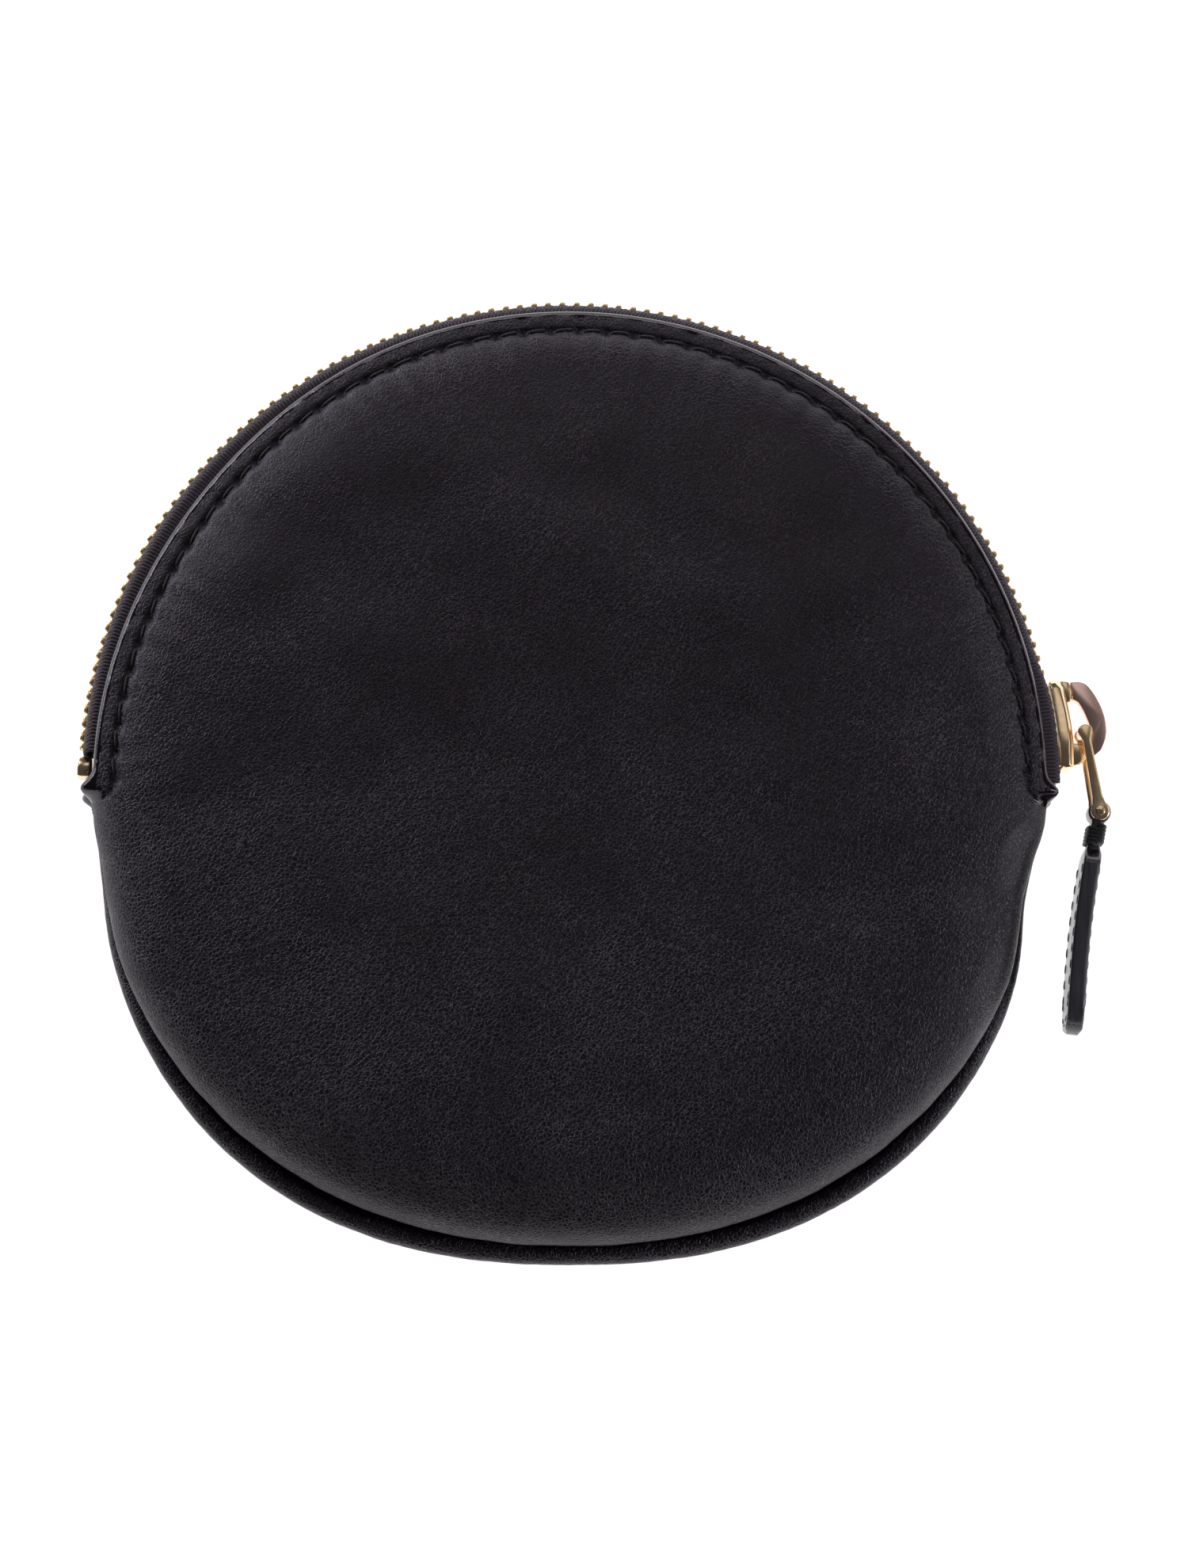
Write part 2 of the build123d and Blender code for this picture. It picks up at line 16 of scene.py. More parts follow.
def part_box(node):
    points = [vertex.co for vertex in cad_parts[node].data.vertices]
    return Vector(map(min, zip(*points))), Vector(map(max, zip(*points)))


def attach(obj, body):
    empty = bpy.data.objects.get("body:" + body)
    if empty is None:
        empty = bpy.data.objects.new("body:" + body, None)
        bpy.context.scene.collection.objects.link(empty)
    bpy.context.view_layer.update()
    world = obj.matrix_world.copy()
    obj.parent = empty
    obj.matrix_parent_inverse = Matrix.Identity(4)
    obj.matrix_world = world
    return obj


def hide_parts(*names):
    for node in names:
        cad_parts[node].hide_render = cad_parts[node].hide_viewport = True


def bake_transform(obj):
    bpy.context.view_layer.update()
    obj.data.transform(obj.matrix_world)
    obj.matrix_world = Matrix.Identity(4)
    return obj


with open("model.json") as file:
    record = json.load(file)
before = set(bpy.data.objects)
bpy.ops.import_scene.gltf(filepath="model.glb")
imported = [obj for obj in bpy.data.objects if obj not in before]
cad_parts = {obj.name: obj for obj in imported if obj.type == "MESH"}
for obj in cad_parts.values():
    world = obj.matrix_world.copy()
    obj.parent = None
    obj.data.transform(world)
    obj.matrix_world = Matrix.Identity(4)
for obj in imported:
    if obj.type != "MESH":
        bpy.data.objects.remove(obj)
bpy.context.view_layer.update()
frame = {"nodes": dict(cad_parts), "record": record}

MM = 0.001
TOOTH_REACH = 0.35                       # how far the back row's heads reach past the zip's middle plane
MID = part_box("back_teeth")[1].z / MM - TOOTH_REACH          # height of the zip's middle plane
PANEL_A, PANEL_B, PANEL_N = 60.1, 57.9, 2.15                # outline: half width, half height, squareness
WELT_A, WELT_B, WELT_N = 60.0, 60.1, 2.33
WELT_TUBE = 1.5                          # radius of the piping
SEAM_R = 56                              # mean radius of the lower seam's stitches
TAPE_R, TAPE_T = 61.1, 0.5               # radius of the zip's middle line, thickness of its tape
ZIP_START, ZIP_END = 0.6, 176.0
FIRST_TOOTH, TOOTH_PITCH = 3.2, 1.78
TOOTH_STEP = math.degrees(TOOTH_PITCH / TAPE_R)
STITCH_R, STITCH_PITCH = 57.4, 3.5       # topstitching of the turned edge
STITCH_START, STITCH_END, STITCH_Z = 3.4, 178.2, 7.76
SLIDER_DEG = 7.6
PIVOT, PIN, STRAP_FOOT = (65.15, 7.3), (67.0, -2.8), (63.5, -30.9)     # fork's bar, strap's pin, strap's end

# Sections of a panel: radius, height above MID and, in the first, rows to the next point. UPPER is beside the
# zip, LOWER beside the piping.
UPPER = (
    (0.0, 12.0, 3), (20.0, 12.0, 3), (29.0, 11.92, 6), (38.0, 11.5, 9), (47.0, 10.85, 8), (52.0, 10.1, 6),
    (54.5, 9.4, 6), (56.0, 8.7, 5), (56.9, 8.1, 4), (57.4, 7.66, 4), (57.95, 7.72, 5), (58.8, 7.5, 5),
    (59.55, 7.16, 4), (59.93, 6.66, 4), (60.0, 5.8, 3), (59.6, 4.55, 3), (58.9, 4.15, 3), (58.2, 4.3, 4),
    (57.3, 5.2, 3), (56.2, 6.4, 2), (55.6, 7.1, 1), (54.8, 7.65, 1), (54.1, 8.05, 1), (53.2, 8.4, 1),
    (51.9, 8.82, 2), (46.7, 9.67, 2), (38.0, 10.4, 2), (29.0, 10.8, 1), (20.0, 10.9, 1), (0.0, 10.9, 1),
)
LOWER = (
    (0.0, 12.0), (20.0, 12.0), (29.0, 11.92), (38.0, 11.5), (47.0, 10.8), (52.0, 10.0),
    (54.6, 9.2), (56.6, 8.35), (57.9, 7.5), (58.8, 6.6), (59.4, 5.75), (59.85, 4.85),
    (60.1, 3.9), (59.95, 3.0), (59.6, 2.25), (59.0, 1.6), (58.2, 1.05), (57.2, 0.6),
    (55.2, 0.55), (55.2, 1.5), (57.2, 1.8), (58.8, 3.3), (58.6, 5.2), (56.6, 6.9),
    (51.9, 8.82), (46.7, 9.67), (38.0, 10.4), (29.0, 10.8), (20.0, 10.9), (0.0, 10.9),
)
# Places of points in UPPER
FACE, STITCH_LINE, BAND_END, TURNED_EDGE, INSIDE = 3, 9, 12, 14, 17


# ---------------------------------------------------------------- small maths
def smooth(t):
    """0 to 1 with a soft start and end, as t goes from 0 to 1."""
    t = np.clip(t, 0.0, 1.0)
    return t * t * (3 - 2 * t)


def catmull(points, rows):
    """Smooth curve through points, with rows[i] samples between point i and the next."""
    p = np.array(points, float)
    p = np.vstack([2 * p[0] - p[1], p, 2 * p[-1] - p[-2]])
    out = []
    for i in range(len(p) - 3):
        a, b, c, d = p[i:i + 4]
        for k in range(rows[i]):
            t = k / rows[i]
            out.append(0.5 * (2 * b + (c - a) * t + (2 * a - 5 * b + 4 * c - d) * t * t
                              + (3 * b - a - 3 * c + d) * t ** 3))
    out.append(p[-2])
    return np.array(out)


def wave_noise(angle, seed, low_count, high_count, fade=0.0):
    """Periodic noise round the rim: seeded waves with between low_count and high_count turns."""
    draw = np.random.RandomState(seed)
    total = np.zeros_like(angle)
    for n in range(low_count, high_count + 1):
        total += draw.normal() * n ** -fade * np.cos(np.radians(angle) * n + draw.uniform(0, 2 * math.pi))
    return total / max(1e-9, np.abs(total).max())


def squircle(a, b, n, deg):
    """Radius at an angle of an oval with half axes a and b, squarer as n grows past 2."""
    c, s = np.abs(np.cos(np.radians(deg))), np.abs(np.sin(np.radians(deg)))
    return ((c / a) ** n + (s / b) ** n) ** (-1.0 / n)


def polar(r, deg):
    return np.array((r * math.cos(math.radians(deg)), r * math.sin(math.radians(deg))))


# ---------------------------------------------------------------- meshes
def make_mesh(name, verts, faces, material):
    """Smooth-shaded object from points in millimetres."""
    mesh = bpy.data.meshes.new(name)
    mesh.from_pydata([tuple(v) for v in np.asarray(verts) * MM], [], faces)
    mesh.validate()
    mesh.update()
    mesh.polygons.foreach_set("use_smooth", [True] * len(mesh.polygons))
    piece = bpy.data.objects.new(name, mesh)
    bpy.context.scene.collection.objects.link(piece)
    mesh.materials.append(material)
    return piece


def grid_faces(rows, cols, wrap=True, offset=0):
    """Quads between rows of points. With wrap, each row is a ring."""
    faces = []
    for i in range(rows - 1):
        for j in range(cols if wrap else cols - 1):
            a, b = offset + i * cols + j, offset + i * cols + (j + 1) % cols
            faces.append((a, b, b + cols, a + cols))
    return faces


def headings(path):
    """Unit vectors along a path, one for each of its points."""
    ahead = np.gradient(np.array(path, float), axis=0)
    return ahead / np.linalg.norm(ahead, axis=1)[:, None]


def tube_faces(rings, points, base=0):
    """Faces of a tube of rings, capped at both ends, whose first point has the number base."""
    last = base + (rings - 1) * points
    faces = grid_faces(rings, points, offset=base)
    return faces + [tuple(reversed(range(base, base + points))), tuple(range(last, last + points))]


def loft(name, rings, material):
    """Closed mesh through rings of 3-D points, capped at both ends."""
    return make_mesh(name, np.array(rings, float).reshape(-1, 3), tube_faces(len(rings), len(rings[0])), material)


def tube(name, path, sections, material):
    """Mesh swept along path points. sections[i] is that ring's points as (out, up) offsets."""
    rings = []
    for p, d, ring in zip(path, headings(path), sections):
        out = np.cross(d, (0.0, 0.0, 1.0))
        out /= np.linalg.norm(out)
        true_up = np.cross(out, d)
        rings.append([p + out * o + true_up * u for o, u in ring])
    return loft(name, rings, material)


def rounded(half_w, half_h, radius, per_corner):
    """Rounded rectangle outline, as points."""
    radius = min(radius, half_w, half_h)
    points = []
    for k, (sx, sy) in enumerate(((1, 1), (-1, 1), (-1, -1), (1, -1))):
        for i in range(per_corner + 1):
            t = math.radians(90 * k + 90 * i / per_corner)
            points.append((sx * (half_w - radius) + radius * math.cos(t),
                           sy * (half_h - radius) + radius * math.sin(t)))
    return points


def outward(piece):
    """Makes every face's normal point out."""
    bm = bmesh.new()
    bm.from_mesh(piece.data)
    bmesh.ops.recalc_face_normals(bm, faces=bm.faces)
    bm.to_mesh(piece.data)
    bm.free()
    return piece


def bevel(piece, width, segments=3, angle=30):
    """Rounds the sharp edges of a piece and applies the modifier."""
    outward(piece)
    mod = piece.modifiers.new("edge", "BEVEL")
    mod.width = width * MM
    mod.segments = segments
    mod.limit_method = "ANGLE"
    mod.angle_limit = math.radians(angle)
    return apply_modifiers(piece)


def apply_modifiers(piece):
    """Puts the modifiers' result in the piece's own mesh."""
    graph = bpy.context.evaluated_depsgraph_get()
    mesh = bpy.data.meshes.new_from_object(piece.evaluated_get(graph), depsgraph=graph)
    old = piece.data
    piece.modifiers.clear()
    piece.data = mesh
    bpy.data.meshes.remove(old)
    return piece


def join(name, pieces):
    """One object from several, with the first one's material."""
    bm = bmesh.new()
    for piece in pieces:
        bm.from_mesh(piece.data)
    mesh = bpy.data.meshes.new(name)
    bm.to_mesh(mesh)
    bm.free()
    mesh.materials.append(pieces[0].data.materials[0])
    mesh.polygons.foreach_set("use_smooth", [True] * len(mesh.polygons))
    for piece in pieces:
        bpy.data.objects.remove(piece)
    whole = bpy.data.objects.new(name, mesh)
    bpy.context.scene.collection.objects.link(whole)
    return whole


def prism(name, outline, z0, z1, material, width, place=None):
    """Plate with rounded edges. outline is in the plane of the zip, z0 and z1 are heights from MID."""
    points = [place(*p) if place else p for p in outline]
    n = len(points)
    verts = [(x, y, MID + z0) for x, y in points] + [(x, y, MID + z1) for x, y in points]
    faces = [tuple(reversed(range(n))), tuple(range(n, 2 * n))]
    faces += [(i, (i + 1) % n, n + (i + 1) % n, n + i) for i in range(n)]
    return bevel(make_mesh(name, verts, faces, material), width)


# ---------------------------------------------------------------- materials
class Shader:
    """Short names for building one node material."""

    def __init__(self, name, roughness=0.5, metallic=0.0, **sockets):
        self.material = bpy.data.materials.new(name)
        self.material.use_nodes = True
        self.nodes = self.material.node_tree.nodes
        self.links = self.material.node_tree.links
        self.bsdf = self.nodes["Principled BSDF"]
        self.bsdf.inputs["Roughness"].default_value = roughness
        self.bsdf.inputs["Metallic"].default_value = metallic
        for socket, value in sockets.items():
            self.bsdf.inputs[socket.replace("_", " ")].default_value = value
        self.place = self.nodes.new("ShaderNodeTexCoord").outputs["Object"]

    def node(self, kind, inputs, **settings):
        made = self.nodes.new("ShaderNode" + kind)
        for key, value in settings.items():
            setattr(made, key, value)
        for key, value in inputs.items():
            if isinstance(value, bpy.types.NodeSocket):
                self.links.new(value, made.inputs[key])
            else:
                made.inputs[key].default_value = value
        return made

    def noise(self, scale, detail=3.0, rough=0.5, vector=None):
        inputs = {"Vector": vector or self.place, "Scale": scale, "Detail": detail, "Roughness": rough}
        return self.node("TexNoise", inputs).outputs["Fac"]

    def cells(self, scale, vector=None):
        """Distance to the nearest wall between irregular cells."""
        inputs = {"Vector": vector or self.place, "Scale": scale}
        return self.node("TexVoronoi", inputs, feature="DISTANCE_TO_EDGE").outputs["Distance"]

    def ramp(self, value, stops):
        made = self.node("ValToRGB", {"Fac": value})
        ramp = made.color_ramp
        while len(ramp.elements) < len(stops):
            ramp.elements.new(0.5)
        for element, (at, colour) in zip(ramp.elements, stops):
            element.position = at
            element.color = (*colour, 1.0)
        return made.outputs["Color"]

    def span(self, value, low, high, new_low, new_high):
        inputs = {"Value": value, "From Min": low, "From Max": high, "To Min": new_low, "To Max": new_high}
        return self.node("MapRange", inputs).outputs["Result"]

    def maths(self, operation, a, b):
        return self.node("Math", {0: a, 1: b}, operation=operation).outputs["Value"]

    def bump(self, height, distance_mm, strength, normal=None):
        made = self.node("Bump", {"Height": height, "Distance": distance_mm * MM, "Strength": strength})
        if normal:
            self.links.new(normal, made.inputs["Normal"])
        return made.outputs["Normal"]

    def sine(self, value, turns):
        """Sine of a length or an angle, with this many radians to its unit."""
        return self.maths("SINE", self.maths("MULTIPLY", value, turns), 0.0)

    def plug(self, socket, value):
        self.links.new(value, self.bsdf.inputs[socket])


def leather(name, shade=1.0, roughness=(0.38, 0.52), grain=1.0):
    """Near-black smooth leather: fine pebble grain, painted highlights on its broken creases, soft folds, uneven
    sheen.
    """
    s = Shader(name, Specular_Tint=(1.0, 0.86, 1.0, 1.0), Coat_Weight=0.08, Coat_Roughness=0.2)
    # grain: small cells, stirred so that they aren't regular
    stir = s.node("TexNoise", {"Vector": s.place, "Scale": 1100.0, "Detail": 2.0}).outputs["Color"]
    shift = s.node("VectorMath", {0: stir, "Scale": 0.0006}, operation="SCALE").outputs["Vector"]
    warp = s.node("VectorMath", {0: s.place, 1: shift}, operation="ADD").outputs["Vector"]
    walls = s.cells(2000.0, warp)
    # painted highlights: broken stretches of the cells' walls lightened in the colour, in patches, and stronger
    # low on the panel where light comes from below
    broken = s.span(s.noise(2600, 2.0), 0.5, 0.6, 0.0, 1.0)
    wall_highlights = s.maths("MULTIPLY", s.span(walls, 0.0, 0.15, 1.0, 0.0), broken)
    patch = s.span(s.noise(48, 3.0, 0.6), 0.3, 0.7, 0.45, 1.0)
    height = s.node("SeparateXYZ", {"Vector": s.place}).outputs["Y"]
    lower = s.maths("MULTIPLY", patch, s.span(height, 0.04, -0.04, 0.45, 1.0))
    creases = s.maths("MULTIPLY", s.maths("MULTIPLY", wall_highlights, lower), grain)
    # tone: random patches of tone plus the painted highlights on the cells' walls
    tone = s.maths("ADD", s.noise(75, 4.0, 0.6), creases)
    dark = tuple(shade * c for c in (0.0040, 0.0016, 0.0036))
    middle = tuple(shade * c for c in (0.0068, 0.0034, 0.0062))
    # the lightest colour is the painted highlight, reached where the cells' walls are lightened
    highlight_tone = tuple(shade * c for c in (0.0720, 0.0620, 0.0640))
    s.plug("Base Color", s.ramp(tone, ((0.3, dark), (0.65, middle), (1.0, highlight_tone))))
    s.plug("Roughness", s.span(s.noise(260, 3.0, 0.6), 0.3, 0.7, *roughness))
    # relief: shallow folds, then the cells, then pores
    normal = s.bump(s.noise(420, 4.0, 0.62), 0.14, 0.4 * grain)
    pebble = s.maths("MULTIPLY", s.span(walls, 0.0, 0.22, 0.0, 1.0), lower)
    normal = s.bump(pebble, 0.17, 0.7 * grain, normal)
    s.plug("Normal", s.bump(s.noise(3600, 2.0, 0.55), 0.07, 0.55 * grain, normal))
    return s.material


def painted_edge(name):
    """Smooth edge paint with brush streaks along the strap."""
    s = Shader(name, Coat_Weight=0.3, Coat_Roughness=0.15)
    along = s.node("Mapping", {"Vector": s.place, "Scale": (1600.0, 90.0, 1600.0)}).outputs["Vector"]
    streaks = s.noise(1.0, 3.0, 0.6, along)
    s.plug("Base Color", s.ramp(streaks, ((0.3, (0.040, 0.036, 0.048)), (0.7, (0.075, 0.068, 0.086)))))
    s.plug("Roughness", s.span(streaks, 0.3, 0.7, 0.26, 0.38))
    s.plug("Normal", s.bump(streaks, 0.03, 0.5))
    return s.material


def gold(name, roughness, colour, polish=1.0):
    """Gold plating with faint polishing marks and slightly uneven tone."""
    s = Shader(name, metallic=1.0)
    warm = tuple(c * k for c, k in zip(colour, (1.0, 0.9, 0.86)))
    s.plug("Base Color", s.ramp(s.noise(240, 3.0), ((0.3, warm), (0.7, colour))))
    smoother, rougher = roughness * (1 - 0.2 * polish), roughness * (1 + 0.25 * polish)
    s.plug("Roughness", s.span(s.noise(900, 2.0), 0.3, 0.7, smoother, rougher))
    s.plug("Normal", s.bump(s.noise(1400, 2.0), 0.006, 0.35 * polish))
    return s.material


def woven(name, dark, light):
    """Zip tape: two crossed sets of threads, one counted round the zip's arc and one in height."""
    threads_per_mm, arc_radius = 2.2, 60.0
    s = Shader(name, roughness=0.75, Specular_Tint=(1.0, 0.86, 0.97, 1.0), Sheen_Weight=0.2, Sheen_Roughness=0.5)
    split = s.node("SeparateXYZ", {"Vector": s.place})
    around = s.maths("ARCTAN2", split.outputs["Y"], split.outputs["X"])
    warp = s.sine(around, arc_radius * threads_per_mm * 2 * math.pi)
    weft = s.sine(split.outputs["Z"], threads_per_mm / MM * 2 * math.pi)
    fibres = s.maths("MULTIPLY", s.noise(3000, 2.0), 0.8)
    weave = s.maths("ADD", s.maths("MULTIPLY", warp, weft), fibres)
    s.plug("Base Color", s.ramp(s.span(weave, -1.2, 1.6, 0.0, 1.0), ((0.15, dark), (0.85, light))))
    s.plug("Normal", s.bump(weave, 0.09, 0.8))
    return s.material


def cloth(name, dark, light):
    """Plain-woven lining."""
    pitch = 0.32
    s = Shader(name, roughness=0.8, Sheen_Weight=0.2, Sheen_Roughness=0.5)
    split = s.node("SeparateXYZ", {"Vector": s.place})
    turns = 2 * math.pi / (pitch * MM)
    warp, weft = s.sine(split.outputs["X"], turns), s.sine(split.outputs["Y"], turns)
    weave = s.maths("ADD", s.maths("MULTIPLY", warp, weft), s.noise(1800, 3.0))
    s.plug("Base Color", s.ramp(s.span(weave, -0.8, 1.6, 0.0, 1.0), ((0.2, dark), (0.8, light))))
    s.plug("Normal", s.bump(weave, 0.06, 0.7))
    return s.material


def thread(name, dark, light, twist_mm=0.45, roughness=0.55):
    """Twisted thread: slanting plies and fine fibres."""
    s = Shader(name, roughness=roughness, Sheen_Weight=0.15)
    split = s.node("SeparateXYZ", {"Vector": s.place})
    lean = s.maths("ADD", split.outputs["X"], s.maths("ADD", split.outputs["Y"], split.outputs["Z"]))
    ply = s.sine(lean, 2 * math.pi / (twist_mm * MM))
    mixed = s.maths("ADD", ply, s.noise(6000, 3.0))
    s.plug("Base Color", s.ramp(s.span(mixed, -0.8, 1.8, 0.0, 1.0), ((0.2, dark), (0.9, light))))
    s.plug("Normal", s.bump(mixed, 0.05, 0.7))
    return s.material


def foam_material(name):
    """Pale open-cell padding."""
    s = Shader(name, roughness=0.9)
    s.plug("Base Color", s.ramp(s.noise(900, 4.0), ((0.3, (0.42, 0.41, 0.39)), (0.7, (0.6, 0.59, 0.56)))))
    s.plug("Normal", s.bump(s.cells(1600), 0.2, 0.6))
    return s.material


LEATHER = leather("black_leather")
GLAZED_LEATHER = leather("glazed_leather_edge", 1.0, (0.08, 0.14), 0.15)
WELT_LEATHER = leather("welt_leather", 1.1, (0.34, 0.46), 0.9)
STRAP_LEATHER = leather("strap_leather", 1.1, (0.16, 0.26), 0.35)
EDGE_PAINT = painted_edge("edge_paint")
GOLD = gold("gold_polished", 0.2, (0.93, 0.72, 0.46))
# the bridge's rose tint is a painted reflection of the reddish backlight on its flat plate
BRIDGE_GOLD = gold("gold_painted_rose_reflection", 0.24, (0.86, 0.60, 0.52), 0.12)
GOLD_TEETH = gold("gold_teeth", 0.34, (0.95, 0.70, 0.40))
TAPE = woven("zip_tape_weave", (0.019, 0.012, 0.016), (0.105, 0.078, 0.092))
THREAD = thread("black_thread", (0.004, 0.004, 0.004), (0.022, 0.02, 0.022))
LINING = cloth("lining_cloth", (0.012, 0.011, 0.012), (0.05, 0.046, 0.05))
FOAM = foam_material("foam")
COTTON = thread("cotton_cord", (0.35, 0.33, 0.28), (0.65, 0.61, 0.54), 1.2, 0.85)


# ---------------------------------------------------------------- panels
COLS = 900
ANGLES = np.arange(COLS) * 360.0 / COLS
BELOW = ANGLES > 180                     # beside the piping


def hollow(deg):
    """Radius that the outline loses beside the ends of the zip, where the seam pulls it in."""
    past = np.mod(-np.asarray(deg, float), 360)
    right = np.exp(-((past - 13.5) / 7.5) ** 2) * smooth((past - 2) / 7) * (past < 90)
    left = np.exp(-((180 - past - 11) / 7.0) ** 2) * smooth((178 - past) / 6) * (past > 90) * (past < 180)
    return 1.55 * right + 0.65 * left


def hem_shift(deg):
    """Distance that the turned edge lies further in at the upper left, where more tape shows."""
    return 0.85 * np.exp(-((np.asarray(deg, float) - 143) / 24) ** 2)


def outline_radius(a, b, n):
    """Outline of the panels: round beside the zip, squarer beside the piping."""
    return np.where(BELOW, squircle(a, b, n, ANGLES), a) - hollow(ANGLES)


def upper_share():
    """1 beside the zip, 0 beside the piping, with the change at the two corners."""
    past = np.where(ANGLES > 270, 360 - ANGLES, np.where(BELOW, ANGLES - 180, 0.0))
    return 1 - smooth((past - 0.6) / 2.2)


def corner_bump(width):
    """Peaks at the two corners where the turned edge ends."""
    right = np.minimum(np.abs(ANGLES - 359.3), np.abs(ANGLES + 0.7))
    left = np.abs(ANGLES - 180.7)
    return np.exp(-(right / width) ** 2) + np.exp(-(left / width) ** 2)


def hem_detail(section_r, row, marks, seed):
    """Beside the zip: a valley at the stitches, holes between them, puckers and creases, a wavy turned edge."""
    along = np.radians(ANGLES[None, :] - STITCH_START) * STITCH_R
    beat = np.cos(2 * math.pi * along / STITCH_PITCH)                  # 1 in the middle of a stitch
    valley = np.exp(-((section_r - STITCH_R) / 0.5) ** 2) * (row < marks[BAND_END])
    push = -valley * (0.08 + 0.24 * (0.5 - 0.5 * beat) ** 6)
    inward = np.clip(STITCH_R - 0.2 - section_r, 0, None)
    on_face = row <= marks[STITCH_LINE]
    puckers = np.exp(-inward / 1.7) * (section_r < STITCH_R - 0.1) * on_face
    push += puckers * 0.11 * beat
    creases = np.exp(-inward / 4.5) * smooth(inward) * on_face
    push += creases * 0.13 * wave_noise(ANGLES, seed, 40, 110)[None, :]
    band = np.exp(-((section_r - 58.7) / 0.8) ** 2) * (row > marks[STITCH_LINE]) * (row < marks[TURNED_EDGE])
    push += band * (0.05 * beat + 0.07 * wave_noise(ANGLES, seed + 1, 30, 120)[None, :])
    return push


def seam_detail(row, marks, seed):
    """Beside the piping: fine gathers at the seam and a softly rolled edge above it."""
    from_seam = np.clip((marks[INSIDE] - row) / 30.0, 0, None)
    gathers = wave_noise(ANGLES, seed + 2, 90, 230)[None, :]
    rolls = wave_noise(ANGLES, seed + 3, 18, 60)[None, :]
    return np.exp(-from_seam * 3.2) * 0.13 * gathers + np.exp(-from_seam * 1.1) * 0.16 * rolls


def face_unevenness(x, y, r, seed):
    """Slow waves of stuffed leather, which fade out at the edge."""
    draw = np.random.RandomState(seed + 5)
    push = np.zeros_like(r)
    for _ in range(14):
        size = draw.uniform(11, 34)
        turn = draw.uniform(0, 2 * math.pi)
        along = x * math.cos(turn) + y * math.sin(turn)
        push += 0.030 * np.cos(2 * math.pi * along / size + draw.uniform(0, 6.3)) * smooth((58 - r) / 8)
    return push


def corner_creases(x, y):
    """Short creases that fan out from the two ends of the zip."""
    push = np.zeros_like(x)
    for side, depth in ((1, 0.035), (-1, 0.02)):
        dx, dy = x - side * 60.0, y + 1.0
        fan = np.arctan2(dy, dx * side)
        push += depth * np.cos(fan * 17 + 1.3 * side) * np.exp(-((np.hypot(dx, dy) - 7) / 4.5) ** 2)
    return push


def on_plane(r):
    """x and y of the points at these radii, one column for each of ANGLES."""
    return r * np.cos(np.radians(ANGLES)), r * np.sin(np.radians(ANGLES))


def panel_points(side):
    """Outer and inner skin of a panel as rows by columns of points, with its details pressed in."""
    rows = [p[2] for p in UPPER[:-1]]
    up = catmull([p[:2] for p in UPPER], rows)
    down = catmull(LOWER, rows)
    marks = np.concatenate([[0], np.cumsum(rows)])
    row = np.arange(len(up))[:, None]
    share = upper_share()[None, :]
    scale = (outline_radius(PANEL_A, PANEL_B, PANEL_N) / PANEL_A)[None, :]
    r = (up[:, 0:1] * share + down[:, 0:1] * (1 - share)) * scale
    z = up[:, 1:2] * share + down[:, 1:2] * (1 - share)
    r = r + 1.55 * np.exp(-((row - marks[TURNED_EDGE]) / 8.0) ** 2) * corner_bump(1.25)[None, :]
    r = r - hem_shift(ANGLES)[None, :] * smooth((r - 46) / 10)
    # normals in the section
    dr, dz = np.gradient(r, axis=0), np.gradient(z, axis=0)
    length = np.hypot(dr, dz) + 1e-9
    nr, nz = -dz / length, dr / length
    sign = np.sign(nz[marks[FACE]:marks[FACE] + 1, :])
    seed = 11 if side > 0 else 41
    x, y = on_plane(r)
    push = share * hem_detail(up[:, 0:1], row, marks, seed) + (1 - share) * seam_detail(row, marks, seed)
    push += face_unevenness(x, y, r, seed) + corner_creases(x, y) * (row < marks[BAND_END])
    push *= (1 - smooth((row - marks[INSIDE]) / 4.0)) * sign           # the outer skin only
    x, y = on_plane(r + nr * push)
    return np.stack([x, y, MID + side * (z + nz * push)], -1)


def disc_shell(name, points, material):
    """Closed mesh from rows of rings. The first and last row are each one middle point, repeated."""
    verts = [points[0, 0]] + list(points[1:-1].reshape(-1, 3)) + [points[-1, 0]]
    rings = len(points) - 2
    faces = [(0, 1 + (j + 1) % COLS, 1 + j) for j in range(COLS)]
    faces += grid_faces(rings, COLS, offset=1)
    end = len(verts) - 1
    base = 1 + (rings - 1) * COLS
    faces += [(base + j, base + (j + 1) % COLS, end) for j in range(COLS)]
    return outward(make_mesh(name, verts, faces, material))


def panel(name, side):
    """One leather panel. The back one has a flat middle, which the purse lies on."""
    points = panel_points(side)
    if side < 0:
        z = np.maximum(points[..., 2], 0.0)
        flat = smooth((24 - np.hypot(points[..., 0], points[..., 1])) / 5)
        points[..., 2] = np.where(z < 0.6, z * (1 - flat), z)
    piece = disc_shell(name, points, LEATHER)
    piece.data.materials.append(GLAZED_LEATHER)
    for face in piece.data.polygons:
        x, y, z = face.center / MM
        lip = abs(z - MID) < 7.3 and math.hypot(x, y) > 58.3 and y > -2.5
        face.material_index = int(lip)
    return piece


